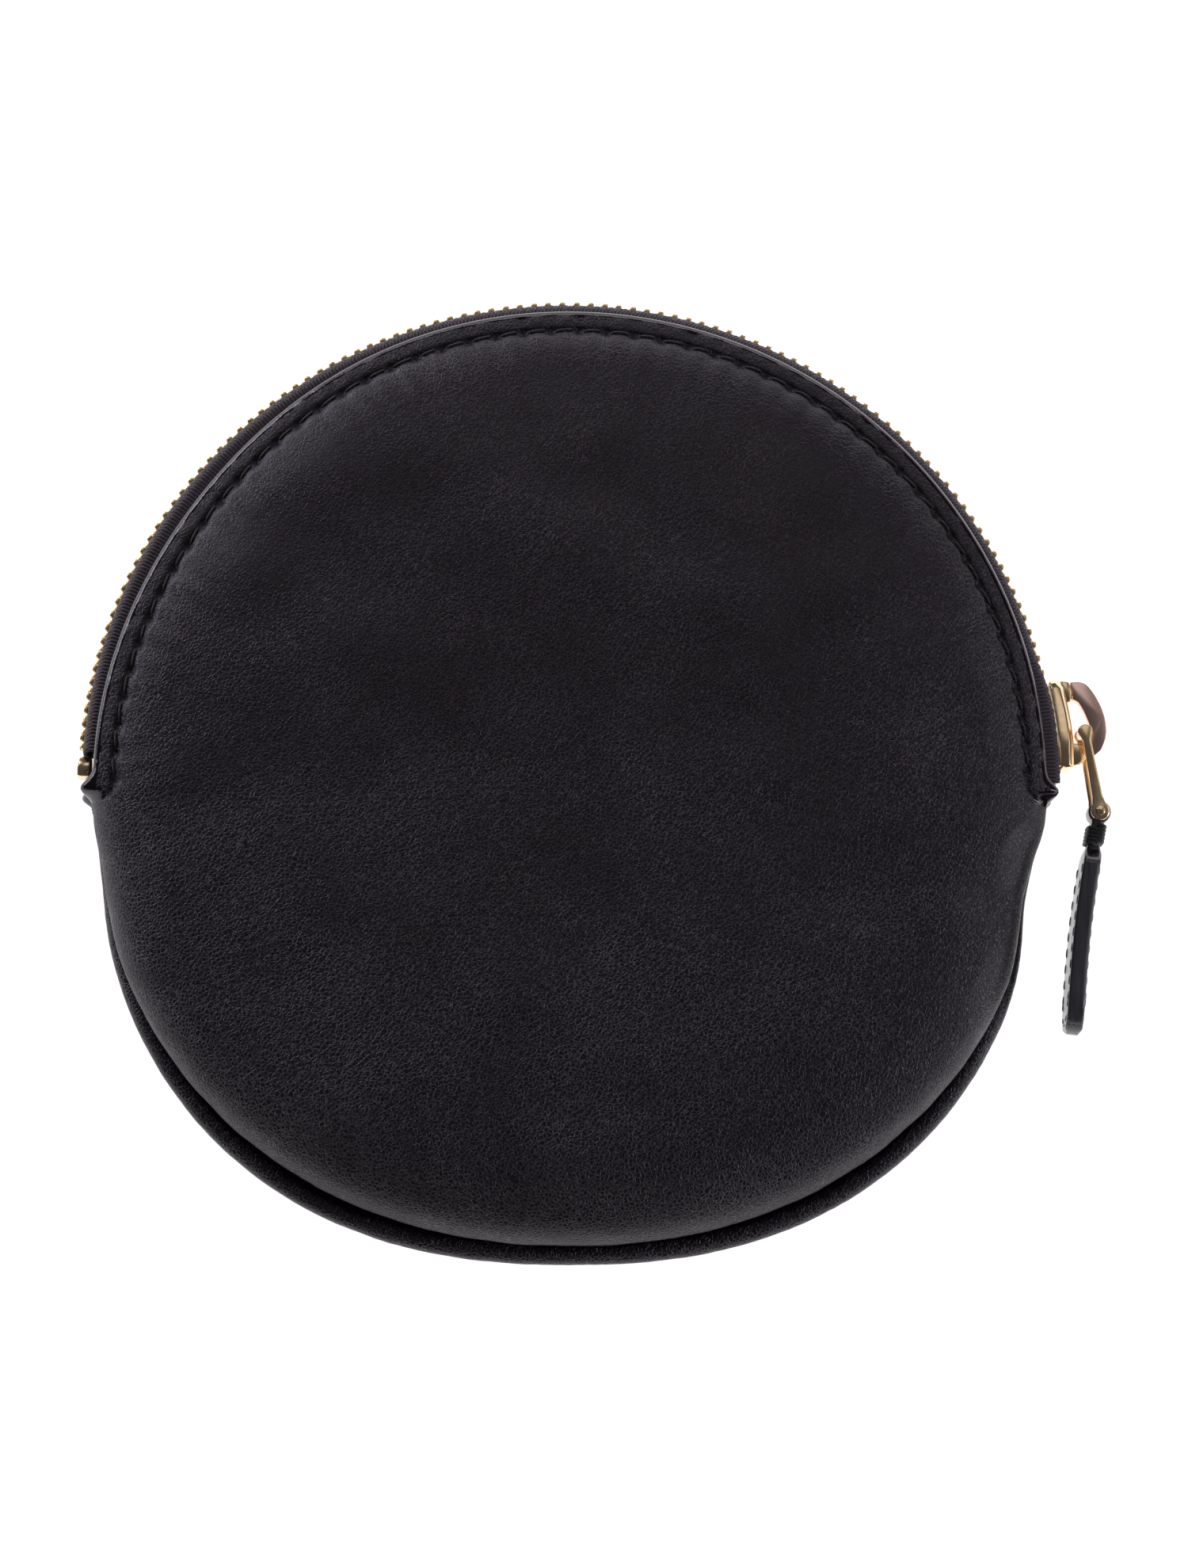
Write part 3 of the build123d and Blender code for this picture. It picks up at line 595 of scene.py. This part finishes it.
def inner_shell(name, curves, side, edge, material, seed, ripple):
    """Padding or lining between two curves. Beside the zip it ends in a flat cut at the height called edge."""
    outer, inner = curves
    curve = np.vstack([catmull(outer, [4] * (len(outer) - 1)), catmull(inner, [3] * (len(inner) - 1))])
    under = np.nonzero(curve[:, 1] < edge)[0]
    first, last = under[0], under[-1]
    flat_cut = curve.copy()
    across = np.linspace(curve[first - 1, 0], curve[last + 1, 0], last - first + 3)
    flat_cut[first:last + 1, 0] = across[1:-1]
    flat_cut[first:last + 1, 1] = edge
    share = upper_share()[None, :]
    scale = (outline_radius(PANEL_A, PANEL_B, PANEL_N) / PANEL_A)[None, :]
    r = (flat_cut[:, 0:1] * share + curve[:, 0:1] * (1 - share)) * scale
    z = flat_cut[:, 1:2] * share + curve[:, 1:2] * (1 - share)
    fold = wave_noise(ANGLES, seed, 5, 40, 0.5)[None, :]
    z = z + ripple * fold * smooth((r - 12) / 25) * smooth((53 - r) / 6) * smooth((z - 1.0) / 3.0)
    x, y = on_plane(r)
    return disc_shell(name, np.stack([x, y, MID + side * z], -1), material)


# Outer and inner curve of the padding and of the lining: radius, height above MID
PADDING = (
    ((0.0, 10.8), (20.0, 10.8), (29.0, 10.7), (38.0, 10.3), (46.6, 9.55), (51.8, 8.68), (55.0, 7.5), (57.2, 6.2),
     (58.4, 5.1), (58.8, 3.95), (58.6, 3.0)),
    ((56.8, 3.0), (56.5, 3.8), (55.5, 4.65), (53.6, 5.65), (50.7, 6.74), (46.0, 7.52), (38.0, 8.22),
     (29.0, 8.67), (20.0, 8.77), (0.0, 8.77)),
)
LINING_BAG = (
    ((0.0, 8.65), (20.0, 8.65), (29.0, 8.55), (38.0, 8.1), (46.0, 7.4), (50.6, 6.6), (53.3, 5.5), (54.5, 4.5),
     (54.75, 3.0), (54.7, 0.05)),
    ((54.2, 0.05), (54.25, 3.0), (54.0, 4.2), (52.9, 5.1), (50.35, 6.15), (45.8, 6.95), (38.0, 7.65),
     (29.0, 8.1), (20.0, 8.2), (0.0, 8.2)),
)
PADDING_EDGE, LINING_EDGE = 8.1, 4.7     # where they stop beside the zip, above MID


def tape_section(side):
    """Section of one tape, from the teeth to where it goes under the panel."""
    line = catmull(((61.1, 1.0), (61.12, 2.2), (61.05, 3.1), (60.85, 3.5), (60.4, 3.75), (59.5, 3.72),
                    (58.6, 3.72), (57.9, 4.1), (57.3, 4.7), (56.6, 5.4), (55.8, 6.2)), [4] * 10)
    ahead = headings(line)
    half = (TAPE_T / 2 - 0.02) * np.stack([ahead[:, 1], -ahead[:, 0]], -1)
    loop = np.vstack([line + half, (line - half)[::-1]])
    loop[:, 1] *= side
    return loop


def zip_tape(name, side):
    """One tape, turned round the zip's arc, with a fine ripple and an outer lip near the slider."""
    ripple, pitch, step, lip_reach = 0.05, 0.95, 0.25, 0.75
    u, z = tape_section(side).T
    rings = []
    for t in np.arange(ZIP_START, ZIP_END + step / 2, step):
        phase = 2 * math.pi * math.radians(t) * TAPE_R / pitch
        shift = ripple * (np.cos(phase + z * 3.1) + 0.7 * np.cos(0.63 * phase - z * 4.3))
        near_slider = 1 - float(smooth((t - 9) / 9))
        lip = lip_reach * near_slider * (np.abs(z) > 3.35) * smooth((u - 59.5) / 1.2)
        r = u + shift + lip
        rings.append(np.stack([r * math.cos(math.radians(t)), r * math.sin(math.radians(t)), MID + z], -1))
    return outward(loft(name, rings, TAPE))


# ---------------------------------------------------------------- zip teeth
def tooth_mesh(side):
    """One tooth at angle 0: a rounded head, jaws on both faces of the tape and a nib."""
    def block(r0, r1, half_length, z0, z1, ease):
        verts = [(r, s * half_length, MID + side * z) for z in (z0, z1) for r in (r0, r1) for s in (-1, 1)]
        faces = [(0, 1, 3, 2), (4, 6, 7, 5), (0, 2, 6, 4), (1, 5, 7, 3), (0, 4, 5, 1), (2, 3, 7, 6)]
        return bevel(make_mesh("part", verts, faces, GOLD_TEETH), ease, 2)
    head = block(60.42, 61.8, 0.37, -0.33, 0.75, 0.22)
    outer_jaw = block(61.36, 61.95, 0.41, 0.45, 2.05, 0.2)
    inner_jaw = block(60.25, 60.84, 0.41, 0.45, 2.05, 0.2)
    nib = block(60.8, 61.4, 0.2, -0.5, 0.1, 0.12)
    return join("tooth", [head, outer_jaw, inner_jaw, nib])


def teeth(name, side, start):
    """One side's row of teeth, from angle start to the zip's end, each a little out of line."""
    tooth = tooth_mesh(side)
    corners = np.array([v.co for v in tooth.data.vertices]) / MM
    polygons = [tuple(p.vertices) for p in tooth.data.polygons]
    bpy.data.objects.remove(tooth)
    draw = np.random.RandomState(5 + side)
    verts, faces = [], []
    for i in range(int((ZIP_END - 0.6 - start) / TOOTH_STEP) + 1):
        t = math.radians(start + i * TOOTH_STEP + draw.normal() * 0.03)
        turn = np.array(((math.cos(t), -math.sin(t), 0), (math.sin(t), math.cos(t), 0), (0, 0, 1)))
        verts.append(corners @ turn.T)
        faces += [tuple(i * len(corners) + k for k in f) for f in polygons]
    return make_mesh(name, np.vstack(verts), faces, GOLD_TEETH)


# ---------------------------------------------------------------- stitches
def bar_mesh(centre, along, normal, length, radius, sink):
    """Rings of one plump thread stitch, arched so that its ends dive into the leather."""
    along = np.array(along, float) / np.linalg.norm(along)
    normal = np.array(normal, float)
    normal -= along * normal.dot(along)
    normal /= np.linalg.norm(normal)
    across = np.cross(along, normal)
    rings = []
    for t in np.linspace(-1, 1, 9):
        size = radius * (1 - 0.55 * t ** 4)
        drop = -sink * t ** 4
        middle = np.array(centre) + along * t * length / 2 + normal * drop
        rings.append([middle + size * (math.cos(a) * normal + math.sin(a) * across)
                      for a in np.linspace(0, 2 * math.pi, 9)[:-1]])
    return rings


def stitch_set(name, bars):
    """One mesh of many separate stitches."""
    verts, faces = [], []
    for i, rings in enumerate(bars):
        count = len(rings[0])
        verts.append(np.array(rings).reshape(-1, 3))
        faces += tube_faces(len(rings), count, i * len(rings) * count)
    return outward(make_mesh(name, np.vstack(verts), faces, THREAD))


def hem_stitching(name, side):
    """Topstitching of the turned edge, each stitch leaning a little across the row."""
    step = math.degrees(STITCH_PITCH / STITCH_R)
    draw = np.random.RandomState(21 + side)
    bars = []
    for t in STITCH_START + step * np.arange(int((STITCH_END - STITCH_START) / step) + 1):
        out, round_ = polar(1, t), polar(1, t + 90)
        slope = np.array((out[0] * 0.3, out[1] * 0.3, side * 0.95))
        lean = 0.10 + draw.normal() * 0.03
        along = np.array((round_[0] - out[0] * lean, round_[1] - out[1] * lean, side * lean * 0.8))
        centre = np.array((*(out * (STITCH_R + 0.05 - float(hem_shift(t)))), MID + side * STITCH_Z))
        bars.append(bar_mesh(centre, along, slope, 2.4 + draw.normal() * 0.16, 0.19, 0.30))
    return stitch_set(name, bars)


# ---------------------------------------------------------------- piping
def seam_path(turns, inside):
    """Points of the piped seam, a distance inside the piping's outline."""
    radius = squircle(WELT_A - inside, WELT_B - inside, WELT_N, turns) - 0.9 * hollow(turns)
    x, y = radius * np.cos(np.radians(turns)), radius * np.sin(np.radians(turns))
    return np.stack([x, y, np.full_like(turns, MID)], -1)


def piping():
    """Leather welt: a plump tube with fine gathers, and the two layers sewn into the seam."""
    turns = np.arange(183.6, 356.41, 0.25)
    fine = wave_noise(turns, 71, 110, 260)
    slow = wave_noise(turns, 72, 20, 70)
    sections = []
    for k in range(len(turns)):
        ring = []
        for a in np.linspace(0, 2 * math.pi, 33)[:-1]:
            toward = 0.5 - 0.5 * math.cos(a)       # 1 on the side of the seam
            size = WELT_TUBE - 0.02 + 0.045 * slow[k] + (0.02 + 0.07 * toward) * fine[k]
            ring.append((size * math.cos(a), size * math.sin(a)))
        sections.append(ring)
    whole = tube("welt_tube", seam_path(turns, WELT_TUBE), sections, WELT_LEATHER)
    inner, outer, up = seam_path(turns, 4.6), seam_path(turns, 2.2), np.array((0, 0, 0.38))
    rings = [[i - up, o - up, o + up, i + up] for i, o in zip(inner, outer)]
    flange = loft("welt_flange", rings, WELT_LEATHER)
    return outward(join("welt_leather_piping", [whole, flange]))


def piping_cord():
    """Twisted cotton filler of the piping, seen only where the tube's ends are open."""
    plies, twist = 3, 30                     # twist is the cord's turns for one turn round the purse
    turns = np.arange(183.4, 356.61, 0.25)
    sections = []
    for spin in np.radians(turns) * twist:
        ring = []
        for a in np.linspace(0, 2 * math.pi, 19)[:-1]:
            size = 0.62 + 0.07 * abs(math.cos(plies / 2 * (a + spin)))
            ring.append((size * math.cos(a), size * math.sin(a)))
        sections.append(ring)
    return outward(tube("welt_filler_cord", seam_path(turns, WELT_TUBE), sections, COTTON))


def seam_stitching():
    """Stitches of the lower seam, on both faces of the sewn layers."""
    pitch, inside, height = 3.0, 4.1, 1.35
    step, bars = math.degrees(pitch / SEAM_R), []
    for side in (1, -1):
        for t in np.arange(186, 354.1, step):
            a, b = seam_path(np.array((t - step * 0.36, t + step * 0.36)), inside)
            middle = (a + b) / 2 + np.array((0, 0, side * height))
            bars.append(bar_mesh(middle, b - a, (0, 0, side), float(np.linalg.norm(b - a)), 0.2, 0.2))
    return stitch_set("seam_stitching", bars)


# ---------------------------------------------------------------- slider and pull
def at_slider(u, v):
    """u is out from the zip's centre, v along the zip, both at the slider's middle."""
    c, s = math.cos(math.radians(SLIDER_DEG)), math.sin(math.radians(SLIDER_DEG))
    return (u * c - v * s, u * s + v * c)


def curved(u, v):
    """The same, bent along the zip's arc."""
    return polar(u, SLIDER_DEG + math.degrees(v / TAPE_R))


def wing(name, stations, top_ease):
    """Plate of a slider: stations are (along, inner radius, outer radius, half width)."""
    rings = []
    for v, r0, r1, half in stations:
        e = min(top_ease, (r1 - r0) * 0.45)
        corner = half - e * 1.3
        section = (r0, -half), (r1 - e, -half), (r1, -corner), (r1, corner), (r1 - e, half), (r0, half)
        rings.append([(*curved(u, v), MID + z) for u, z in section])
    return bevel(loft(name, rings, GOLD), 0.16, 3, 20)


def slider():
    """Outer and inner wing, the rails that guide the tapes, the wedge between them and the bridge's two feet."""
    outer = wing("outer_wing", (
        (-5.55, 62.3, 63.2, 3.25), (-5.3, 62.15, 63.75, 3.6), (-2.4, 62.15, 64.0, 3.6), (-0.4, 62.15, 64.0, 3.45),
        (1.4, 62.15, 64.0, 3.0), (4.4, 62.15, 63.85, 2.9), (5.2, 62.15, 63.5, 2.6), (5.5, 62.3, 63.0, 2.2)), 0.55)
    inner = wing("inner_wing", (
        (-5.4, 58.9, 59.9, 3.0), (-5.1, 58.7, 60.05, 3.3), (-0.4, 58.65, 60.05, 3.25), (1.4, 58.65, 60.05, 3.0),
        (5.0, 58.75, 60.05, 2.8), (5.35, 58.95, 59.9, 2.4)), 0.3)
    rails = []
    for r0, r1, widest in ((61.48, 62.3, 3.55), (59.9, 60.7, 3.28)):
        for s in (1, -1):
            rings = []
            for v, half in ((-5.3, 3.55), (-2.4, 3.55), (-0.2, 3.3), (1.2, 2.95), (5.0, 2.85)):
                near, far = (2.62 if v < -1 else 2.27), min(half, widest)
                section = (r0, near), (r0, far), (r1, far), (r1, near)
                rings.append([(*curved(r, v), MID + s * z) for r, z in section])
            rails.append(bevel(loft("rail", rings, GOLD), 0.12, 2, 20))
    wedge = prism("wedge", ((60.0, -4.7), (62.2, -4.7), (62.2, -2.6), (60.0, -2.6)),
                  0.42, 0.97, GOLD, 0.1, at_slider)
    nose = prism("nose", ((63.5, -5.35), (64.6, -5.15), (65.45, -4.55), (65.6, -3.3), (65.2, -2.6), (63.5, -2.35)),
                 -1.3, 1.3, GOLD, 0.25, at_slider)
    root = prism("root", ((63.5, 2.6), (64.5, 2.8), (64.75, 4.1), (64.5, 5.35), (63.4, 5.6)),
                 -1.6, 1.6, GOLD, 0.25, at_slider)
    return outward(join("zip_slider_body", [outer, inner, *rails, wedge, nose, root]))


def bridge():
    """Curved plate over the slider, which holds the fork's bar."""
    outer = catmull(((64.7, 5.3), (66.0, 5.15), (66.9, 4.5), (67.85, 2.7), (68.4, 0.8), (68.5, -0.9),
                     (68.25, -2.3), (67.6, -3.6), (66.4, -4.45)), [4] * 8)
    inner = catmull(((65.68, -2.8), (66.25, -2.35), (66.46, -1.5), (66.4, -0.5), (66.05, 0.9), (65.6, 2.1),
                     (65.15, 2.8), (64.7, 3.05)), [3] * 7)
    outline = [tuple(p) for p in outer] + [(65.7, -4.35)] + [tuple(p) for p in inner]
    return prism("zip_slider_bridge", outline, -1.0, 1.0, BRIDGE_GOLD, 0.14, at_slider)


def reach(start, end):
    """Length from start to end in the zip's plane, the direction there and the direction across it."""
    ahead = np.array(end) - np.array(start)
    length = float(np.linalg.norm(ahead))
    ahead = ahead / length
    return length, ahead, np.array((-ahead[1], ahead[0]))


LINK_LEN, LINK_DIR, LINK_SIDE = reach(PIVOT, PIN)
STRAP_LEN, STRAP_DIR, STRAP_OUT = reach(PIN, STRAP_FOOT)
NECK_HALF, STRAP_HALF, STRAP_TIP = 2.3, 4.95, 4.9          # half widths of the strap, length of its rounded tip


def at_link(u, v):
    """u is from the fork's bar towards the pin, v across it."""
    return tuple(np.array(PIVOT) + LINK_DIR * u + LINK_SIDE * v)


def round_bar(name, centre, radius, half, ease):
    """Gold pin across the zip's plane."""
    outline = [(centre[0] + radius * math.cos(a), centre[1] + radius * math.sin(a))
               for a in np.linspace(0, 2 * math.pi, 33)[:-1]]
    return prism(name, outline, -half, half, GOLD, ease)


def link():
    """Fork: a bar through the bridge and an arm down each side of the strap."""
    pieces = [round_bar("bar", PIVOT, 0.75, 3.1, 0.1)]
    for z0, z1 in ((-3.3, -2.5), (2.5, 3.3)):
        top = [(-0.95 * math.sin(a), 0.95 * math.cos(a)) for a in np.linspace(0, math.pi, 9)]
        foot = [(LINK_LEN + 1.2 * math.cos(a), 1.2 * math.sin(a)) for a in np.linspace(-2.3, 2.3, 17)]
        outline = top + [(1.2, -0.5), (LINK_LEN - 1.9, -0.66)] + foot + [(LINK_LEN - 1.9, 0.66), (1.2, 0.5)]
        pieces.append(prism("arm", outline, z0, z1, GOLD, 0.2, at_link))
    return outward(join("zip_pull_link", pieces))


def strap_line(u):
    """Point on the strap's middle line, with the slight bow of a worn strap."""
    bow = -0.55 * math.sin(math.pi * min(max(u / STRAP_LEN, 0), 1)) ** 1.2
    return np.array(PIN) + STRAP_DIR * u + STRAP_OUT * bow


def strap_half(u):
    """Half width and half thickness of the strap."""
    wide = NECK_HALF + (STRAP_HALF - NECK_HALF) * float(smooth((u - 4.3) / 2.4))
    left = STRAP_LEN - u
    if left < STRAP_TIP:
        wide *= math.sqrt(max(0.0, 1 - ((STRAP_TIP - left) / STRAP_TIP) ** 2.3))
    thick = 0.72 + (1.04 - 0.72) * float(smooth((u - 4.2) / 1.4))
    return max(wide, 0.3), thick


def strap():
    """Flat strap with slightly swollen faces, and the loop of its leather round the pin. Its edges are painted."""
    stations = list(np.linspace(0.9, 7.5, 24)) + list(np.linspace(8.0, STRAP_LEN - 5, 30))
    stations += [STRAP_LEN - STRAP_TIP + 4.88 * math.sin(t) for t in np.linspace(0, math.pi / 2, 22)]
    rings = []
    for u in stations:
        wide, thick = strap_half(u)
        if STRAP_LEN - u < 0.6:
            thick *= 0.55 + 0.45 * (STRAP_LEN - u) / 0.6
        centre = strap_line(u)
        ring = []
        for w, t in rounded(wide, thick, 0.42, 5):
            on_face = abs(t) > thick * 0.8
            swell = 0.10 * (1 - min(1, abs(w) / wide) ** 4) * on_face
            x, y = centre + STRAP_OUT * (t + math.copysign(swell, t))
            ring.append((x, y, MID + w))
        rings.append(ring)
    body = loft("strap_body", rings, STRAP_LEATHER)
    loops = []
    for a in np.linspace(-0.4 * math.pi, 1.4 * math.pi, 40):
        d = STRAP_OUT * math.cos(a) - STRAP_DIR * math.sin(a)
        loops.append([(*(np.array(PIN) + d * (1.06 + t)), MID + w) for w, t in rounded(NECK_HALF, 0.38, 0.3, 3)])
    loop = loft("strap_loop", loops, STRAP_LEATHER)
    whole = outward(join("pull_strap_leather", [body, loop]))
    whole.data.materials.append(EDGE_PAINT)
    for face in whole.data.polygons:
        face.material_index = int(abs(face.normal.z) > 0.62)
    return whole


def strap_stitching():
    """Stitches down both long sides of the strap and round its tip, on both faces."""
    inset = 1.05
    row_w, tip_r = STRAP_HALF - inset, STRAP_TIP - inset
    places = [(7.6 + 2.02 * k, row * row_w, (1.0, 0.0)) for row in (1, -1) for k in range(9)]
    for t in np.radians(np.arange(-72, 73, 36)):
        u, w = STRAP_LEN - STRAP_TIP + tip_r * math.cos(t), row_w * math.sin(t)
        places.append((u, w, (-math.sin(t), math.cos(t))))
    bars = []
    for face in (1, -1):
        for u, w, (du, dw) in places:
            x, y = strap_line(u) + STRAP_OUT * face * 1.05
            along = (STRAP_DIR[0] * du, STRAP_DIR[1] * du, dw + 0.12)
            bars.append(bar_mesh((x, y, MID + w), along, (*(STRAP_OUT * face), 0), 1.5, 0.14, 0.10))
    return stitch_set("pull_strap_stitching", bars)


def binding():
    """Thread wound round the strap's neck, one continuous coil."""
    turns, per_turn, radius = 5.0, 40, 0.24
    path = []
    for k in range(int(turns * per_turn) + 1):
        a = 2 * math.pi * k / per_turn
        u = 1.75 + 0.47 * k / per_turn
        w = (2.35 + radius) * math.copysign(abs(math.cos(a)) ** 0.35, math.cos(a))
        t = (0.78 + radius) * math.copysign(abs(math.sin(a)) ** 0.35, math.sin(a))
        x, y = strap_line(u) + STRAP_OUT * t
        path.append((x, y, MID + w))
    rings = []
    for p, d in zip(np.array(path), headings(path)):
        side = np.cross(d, (*STRAP_DIR, 0.0))
        side /= np.linalg.norm(side)
        other = np.cross(d, side)
        rings.append([p + radius * (math.cos(a) * side + math.sin(a) * other)
                      for a in np.linspace(0, 2 * math.pi, 11)[:-1]])
    return outward(loft("pull_neck_binding", rings, THREAD))


def bottom_stop():
    """Gold clamp over both tapes at the closed end of the zip."""
    at = 177.75
    c, s = polar(1, at), polar(1, at + 90)
    rings = []
    for v, ease in ((-1.3, 0.35), (-1.05, 0.0), (1.05, 0.0), (1.3, 0.35)):
        section = rounded(0.95 - ease, 2.2 - ease, 0.4, 4)
        rings.append([(*(c * (TAPE_R + u) + s * v), MID + z) for u, z in section])
    return outward(loft("zip_bottom_stop", rings, GOLD))


def tack_stitching():
    """Short upright stitches that close the two corners at the zip's ends."""
    bars = []
    for side in (1, -1):
        for y in (-1.0, -2.0, -3.0):
            for z in (-1, 1):
                middle = (side * (60.25 - 0.12 * abs(y)), y, MID + z * 1.7)
                bars.append(bar_mesh(middle, (0, 0.06 * z, 1), (side, 0, 0), 1.7, 0.22, 0.2))
    return stitch_set("corner_tack_stitching", bars)


# ---------------------------------------------------------------- putting it together
def dress(piece, body, slot_name, *nodes):
    """Makes a piece ride on a body and stand for CAD nodes."""
    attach(piece, body)
    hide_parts(*nodes)


def dress_front(piece, slot_name, *nodes):
    """For a piece that lies across the fold line: puts its placement into its mesh and hides the CAD nodes it
    stands for.
    """
    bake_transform(piece)
    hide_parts(*nodes)


def build_body():
    front = panel("front_leather_panel", 1)
    dress_front(front, "black_leather", "front_panel_base", "front_panel_flap")
    back = panel("back_leather_panel", -1)
    dress(back, "purse", "black_leather", "back_panel")
    front_pad = inner_shell("front_padding_sheet", PADDING, 1, PADDING_EDGE, FOAM, 3, 0.0)
    dress_front(front_pad, "foam", "front_padding_base", "front_padding_flap")
    back_pad = inner_shell("back_padding_sheet", PADDING, -1, PADDING_EDGE, FOAM, 4, 0.0)
    dress(back_pad, "purse", "foam", "back_padding")
    front_bag = inner_shell("front_lining_cloth", LINING_BAG, 1, LINING_EDGE, LINING, 7, 0.10)
    dress_front(front_bag, "lining_cloth", "front_lining_base", "front_lining_flap")
    back_bag = inner_shell("back_lining_cloth", LINING_BAG, -1, LINING_EDGE, LINING, 8, 0.10)
    dress(back_bag, "purse", "lining_cloth", "back_lining")


def build_zip():
    dress_front(zip_tape("front_zip_tape_weave", 1), "zip_tape", "front_zip_tape")
    dress(zip_tape("back_zip_tape_weave", -1), "purse", "zip_tape", "back_zip_tape")
    dress(teeth("back_zip_teeth", -1, FIRST_TOOTH), "purse", "gold_metal", "back_teeth")
    dress_front(teeth("front_zip_teeth", 1, FIRST_TOOTH + 2.5 * TOOTH_STEP), "gold_metal", "front_teeth")
    dress(hem_stitching("back_hem_stitching", -1), "purse", "black_thread", "back_topstitch")
    dress_front(hem_stitching("front_hem_stitching", 1), "black_thread", "front_topstitch")
    dress(bottom_stop(), "purse", "gold_metal", "bottom_stop")
    dress(tack_stitching(), "purse", "black_thread", "end_tack_stitch")
    dress(piping(), "purse", "black_leather", "welt")
    dress(piping_cord(), "purse", "cord_cotton", "welt_cord")
    dress(seam_stitching(), "purse", "black_thread", "seam_stitch")


def build_pull():
    dress(slider(), "slider", "gold_metal", "slider_body")
    dress(bridge(), "slider", "gold_metal", "slider_bridge")
    dress(link(), "link", "gold_metal", "pull_link")
    dress(round_bar("zip_pull_pin", PIN, 0.6, 3.5, 0.2), "link", "gold_metal", "pull_pin")
    dress(strap(), "tab", "black_leather", "pull_strap")
    dress(strap_stitching(), "tab", "black_thread", "pull_stitch")
    dress(binding(), "tab", "black_thread", "pull_binding")


def paint_cad():
    """Materials of the CAD nodes that stay in view."""
    finish = {"gold_metal": GOLD, "black_thread": THREAD, "cord_cotton": COTTON, "zip_tape": TAPE,
              "foam": FOAM, "lining_cloth": LINING, "black_leather": LEATHER}
    slots = {s["node"]: s["material_slot"] for s in frame["record"]["subparts"]}
    for name, node in frame["nodes"].items():
        node.data.materials.clear()
        node.data.materials.append(finish[slots[name]])


# ---------------------------------------------------------------- stage
LIGHTS = (                               # name, place, size, power, colour. Places and sizes are in metres.
    ("left_top_strip", (-0.46, 0.34, 0.10), (0.5, 0.12), 1.4, (0.86, 0.93, 1.0)),
    ("right_strip", (0.50, -0.12, 0.10), (0.12, 0.5), 0.9, (0.86, 0.93, 1.0)),
    ("top_strip", (0.05, 0.55, 0.12), (0.7, 0.12), 0.8, (0.92, 0.96, 1.0)),
    ("key", (-0.30, 0.42, 0.55), (0.22, 0.22), 0.36, (1, 1, 1)),
    ("fill", (0.42, 0.10, 0.5), (0.22, 0.22), 0.2, (1, 1, 1)),
    ("overhead", (0.12, 0.40, 0.9), (0.4, 0.3), 0.26, (1, 1, 1)),
)


def area_light(name, place, size, power, colour):
    """Soft rectangular light, turned to the middle of the purse."""
    light = bpy.data.lights.new(name, "AREA")
    light.shape = "RECTANGLE"
    light.size, light.size_y = size
    light.energy = power
    light.color = colour
    lamp = bpy.data.objects.new(name, light)
    bpy.context.scene.collection.objects.link(lamp)
    lamp.location = place
    lamp.rotation_euler = (Vector((0, 0, 0.012)) - Vector(place)).to_track_quat("-Z", "Y").to_euler()


def stage():
    """Pale floor, a dim even world and the lights."""
    s = Shader("pale_floor", roughness=0.6)
    s.plug("Base Color", s.ramp(s.noise(12, 2.0), ((0.3, (0.86, 0.87, 0.88)), (0.7, (0.9, 0.905, 0.91)))))
    s.bsdf.inputs["Emission Color"].default_value = (1.0, 1.0, 1.0, 1.0)
    s.bsdf.inputs["Emission Strength"].default_value = 0.95
    count, half, below = 24, 1500, 0.05
    line = np.linspace(-half, half, count)
    verts = [(x, y, -below) for y in line for x in line]
    make_mesh("floor", verts, grid_faces(count, count, False), s.material)
    world = bpy.data.worlds.new("studio")
    bpy.context.scene.world = world
    world.use_nodes = True
    world.node_tree.nodes["Background"].inputs["Color"].default_value = (0.93, 0.96, 1.0, 1.0)
    world.node_tree.nodes["Background"].inputs["Strength"].default_value = 0.07
    for light in LIGHTS:
        area_light(*light)


def camera():
    """Looks down on the front panel from slightly below and to the left of its middle."""
    distance, frame_height, sensor = 1.2, 0.1979, 36.0
    aim = Vector((3.2 * MM, 0.7 * MM, MID * MM))
    down, left = math.radians(6.5), math.radians(2.0)
    data = bpy.data.cameras.new("camera")
    data.sensor_fit = "VERTICAL"
    data.sensor_height = sensor
    data.lens = sensor * distance / frame_height
    view = bpy.data.objects.new("camera", data)
    bpy.context.scene.collection.objects.link(view)
    away = Vector((-math.sin(left), -math.sin(down), math.cos(down) * math.cos(left)))
    away.normalize()
    right = Vector((0, 1, 0)).cross(away).normalized()
    up = away.cross(right)
    view.location = aim + away * distance
    view.rotation_euler = Matrix((right, up, away)).transposed().to_euler()
    bpy.context.scene.camera = view


paint_cad()
build_body()
build_zip()
build_pull()
stage()
camera()
bpy.context.scene.view_settings.view_transform = "Standard"
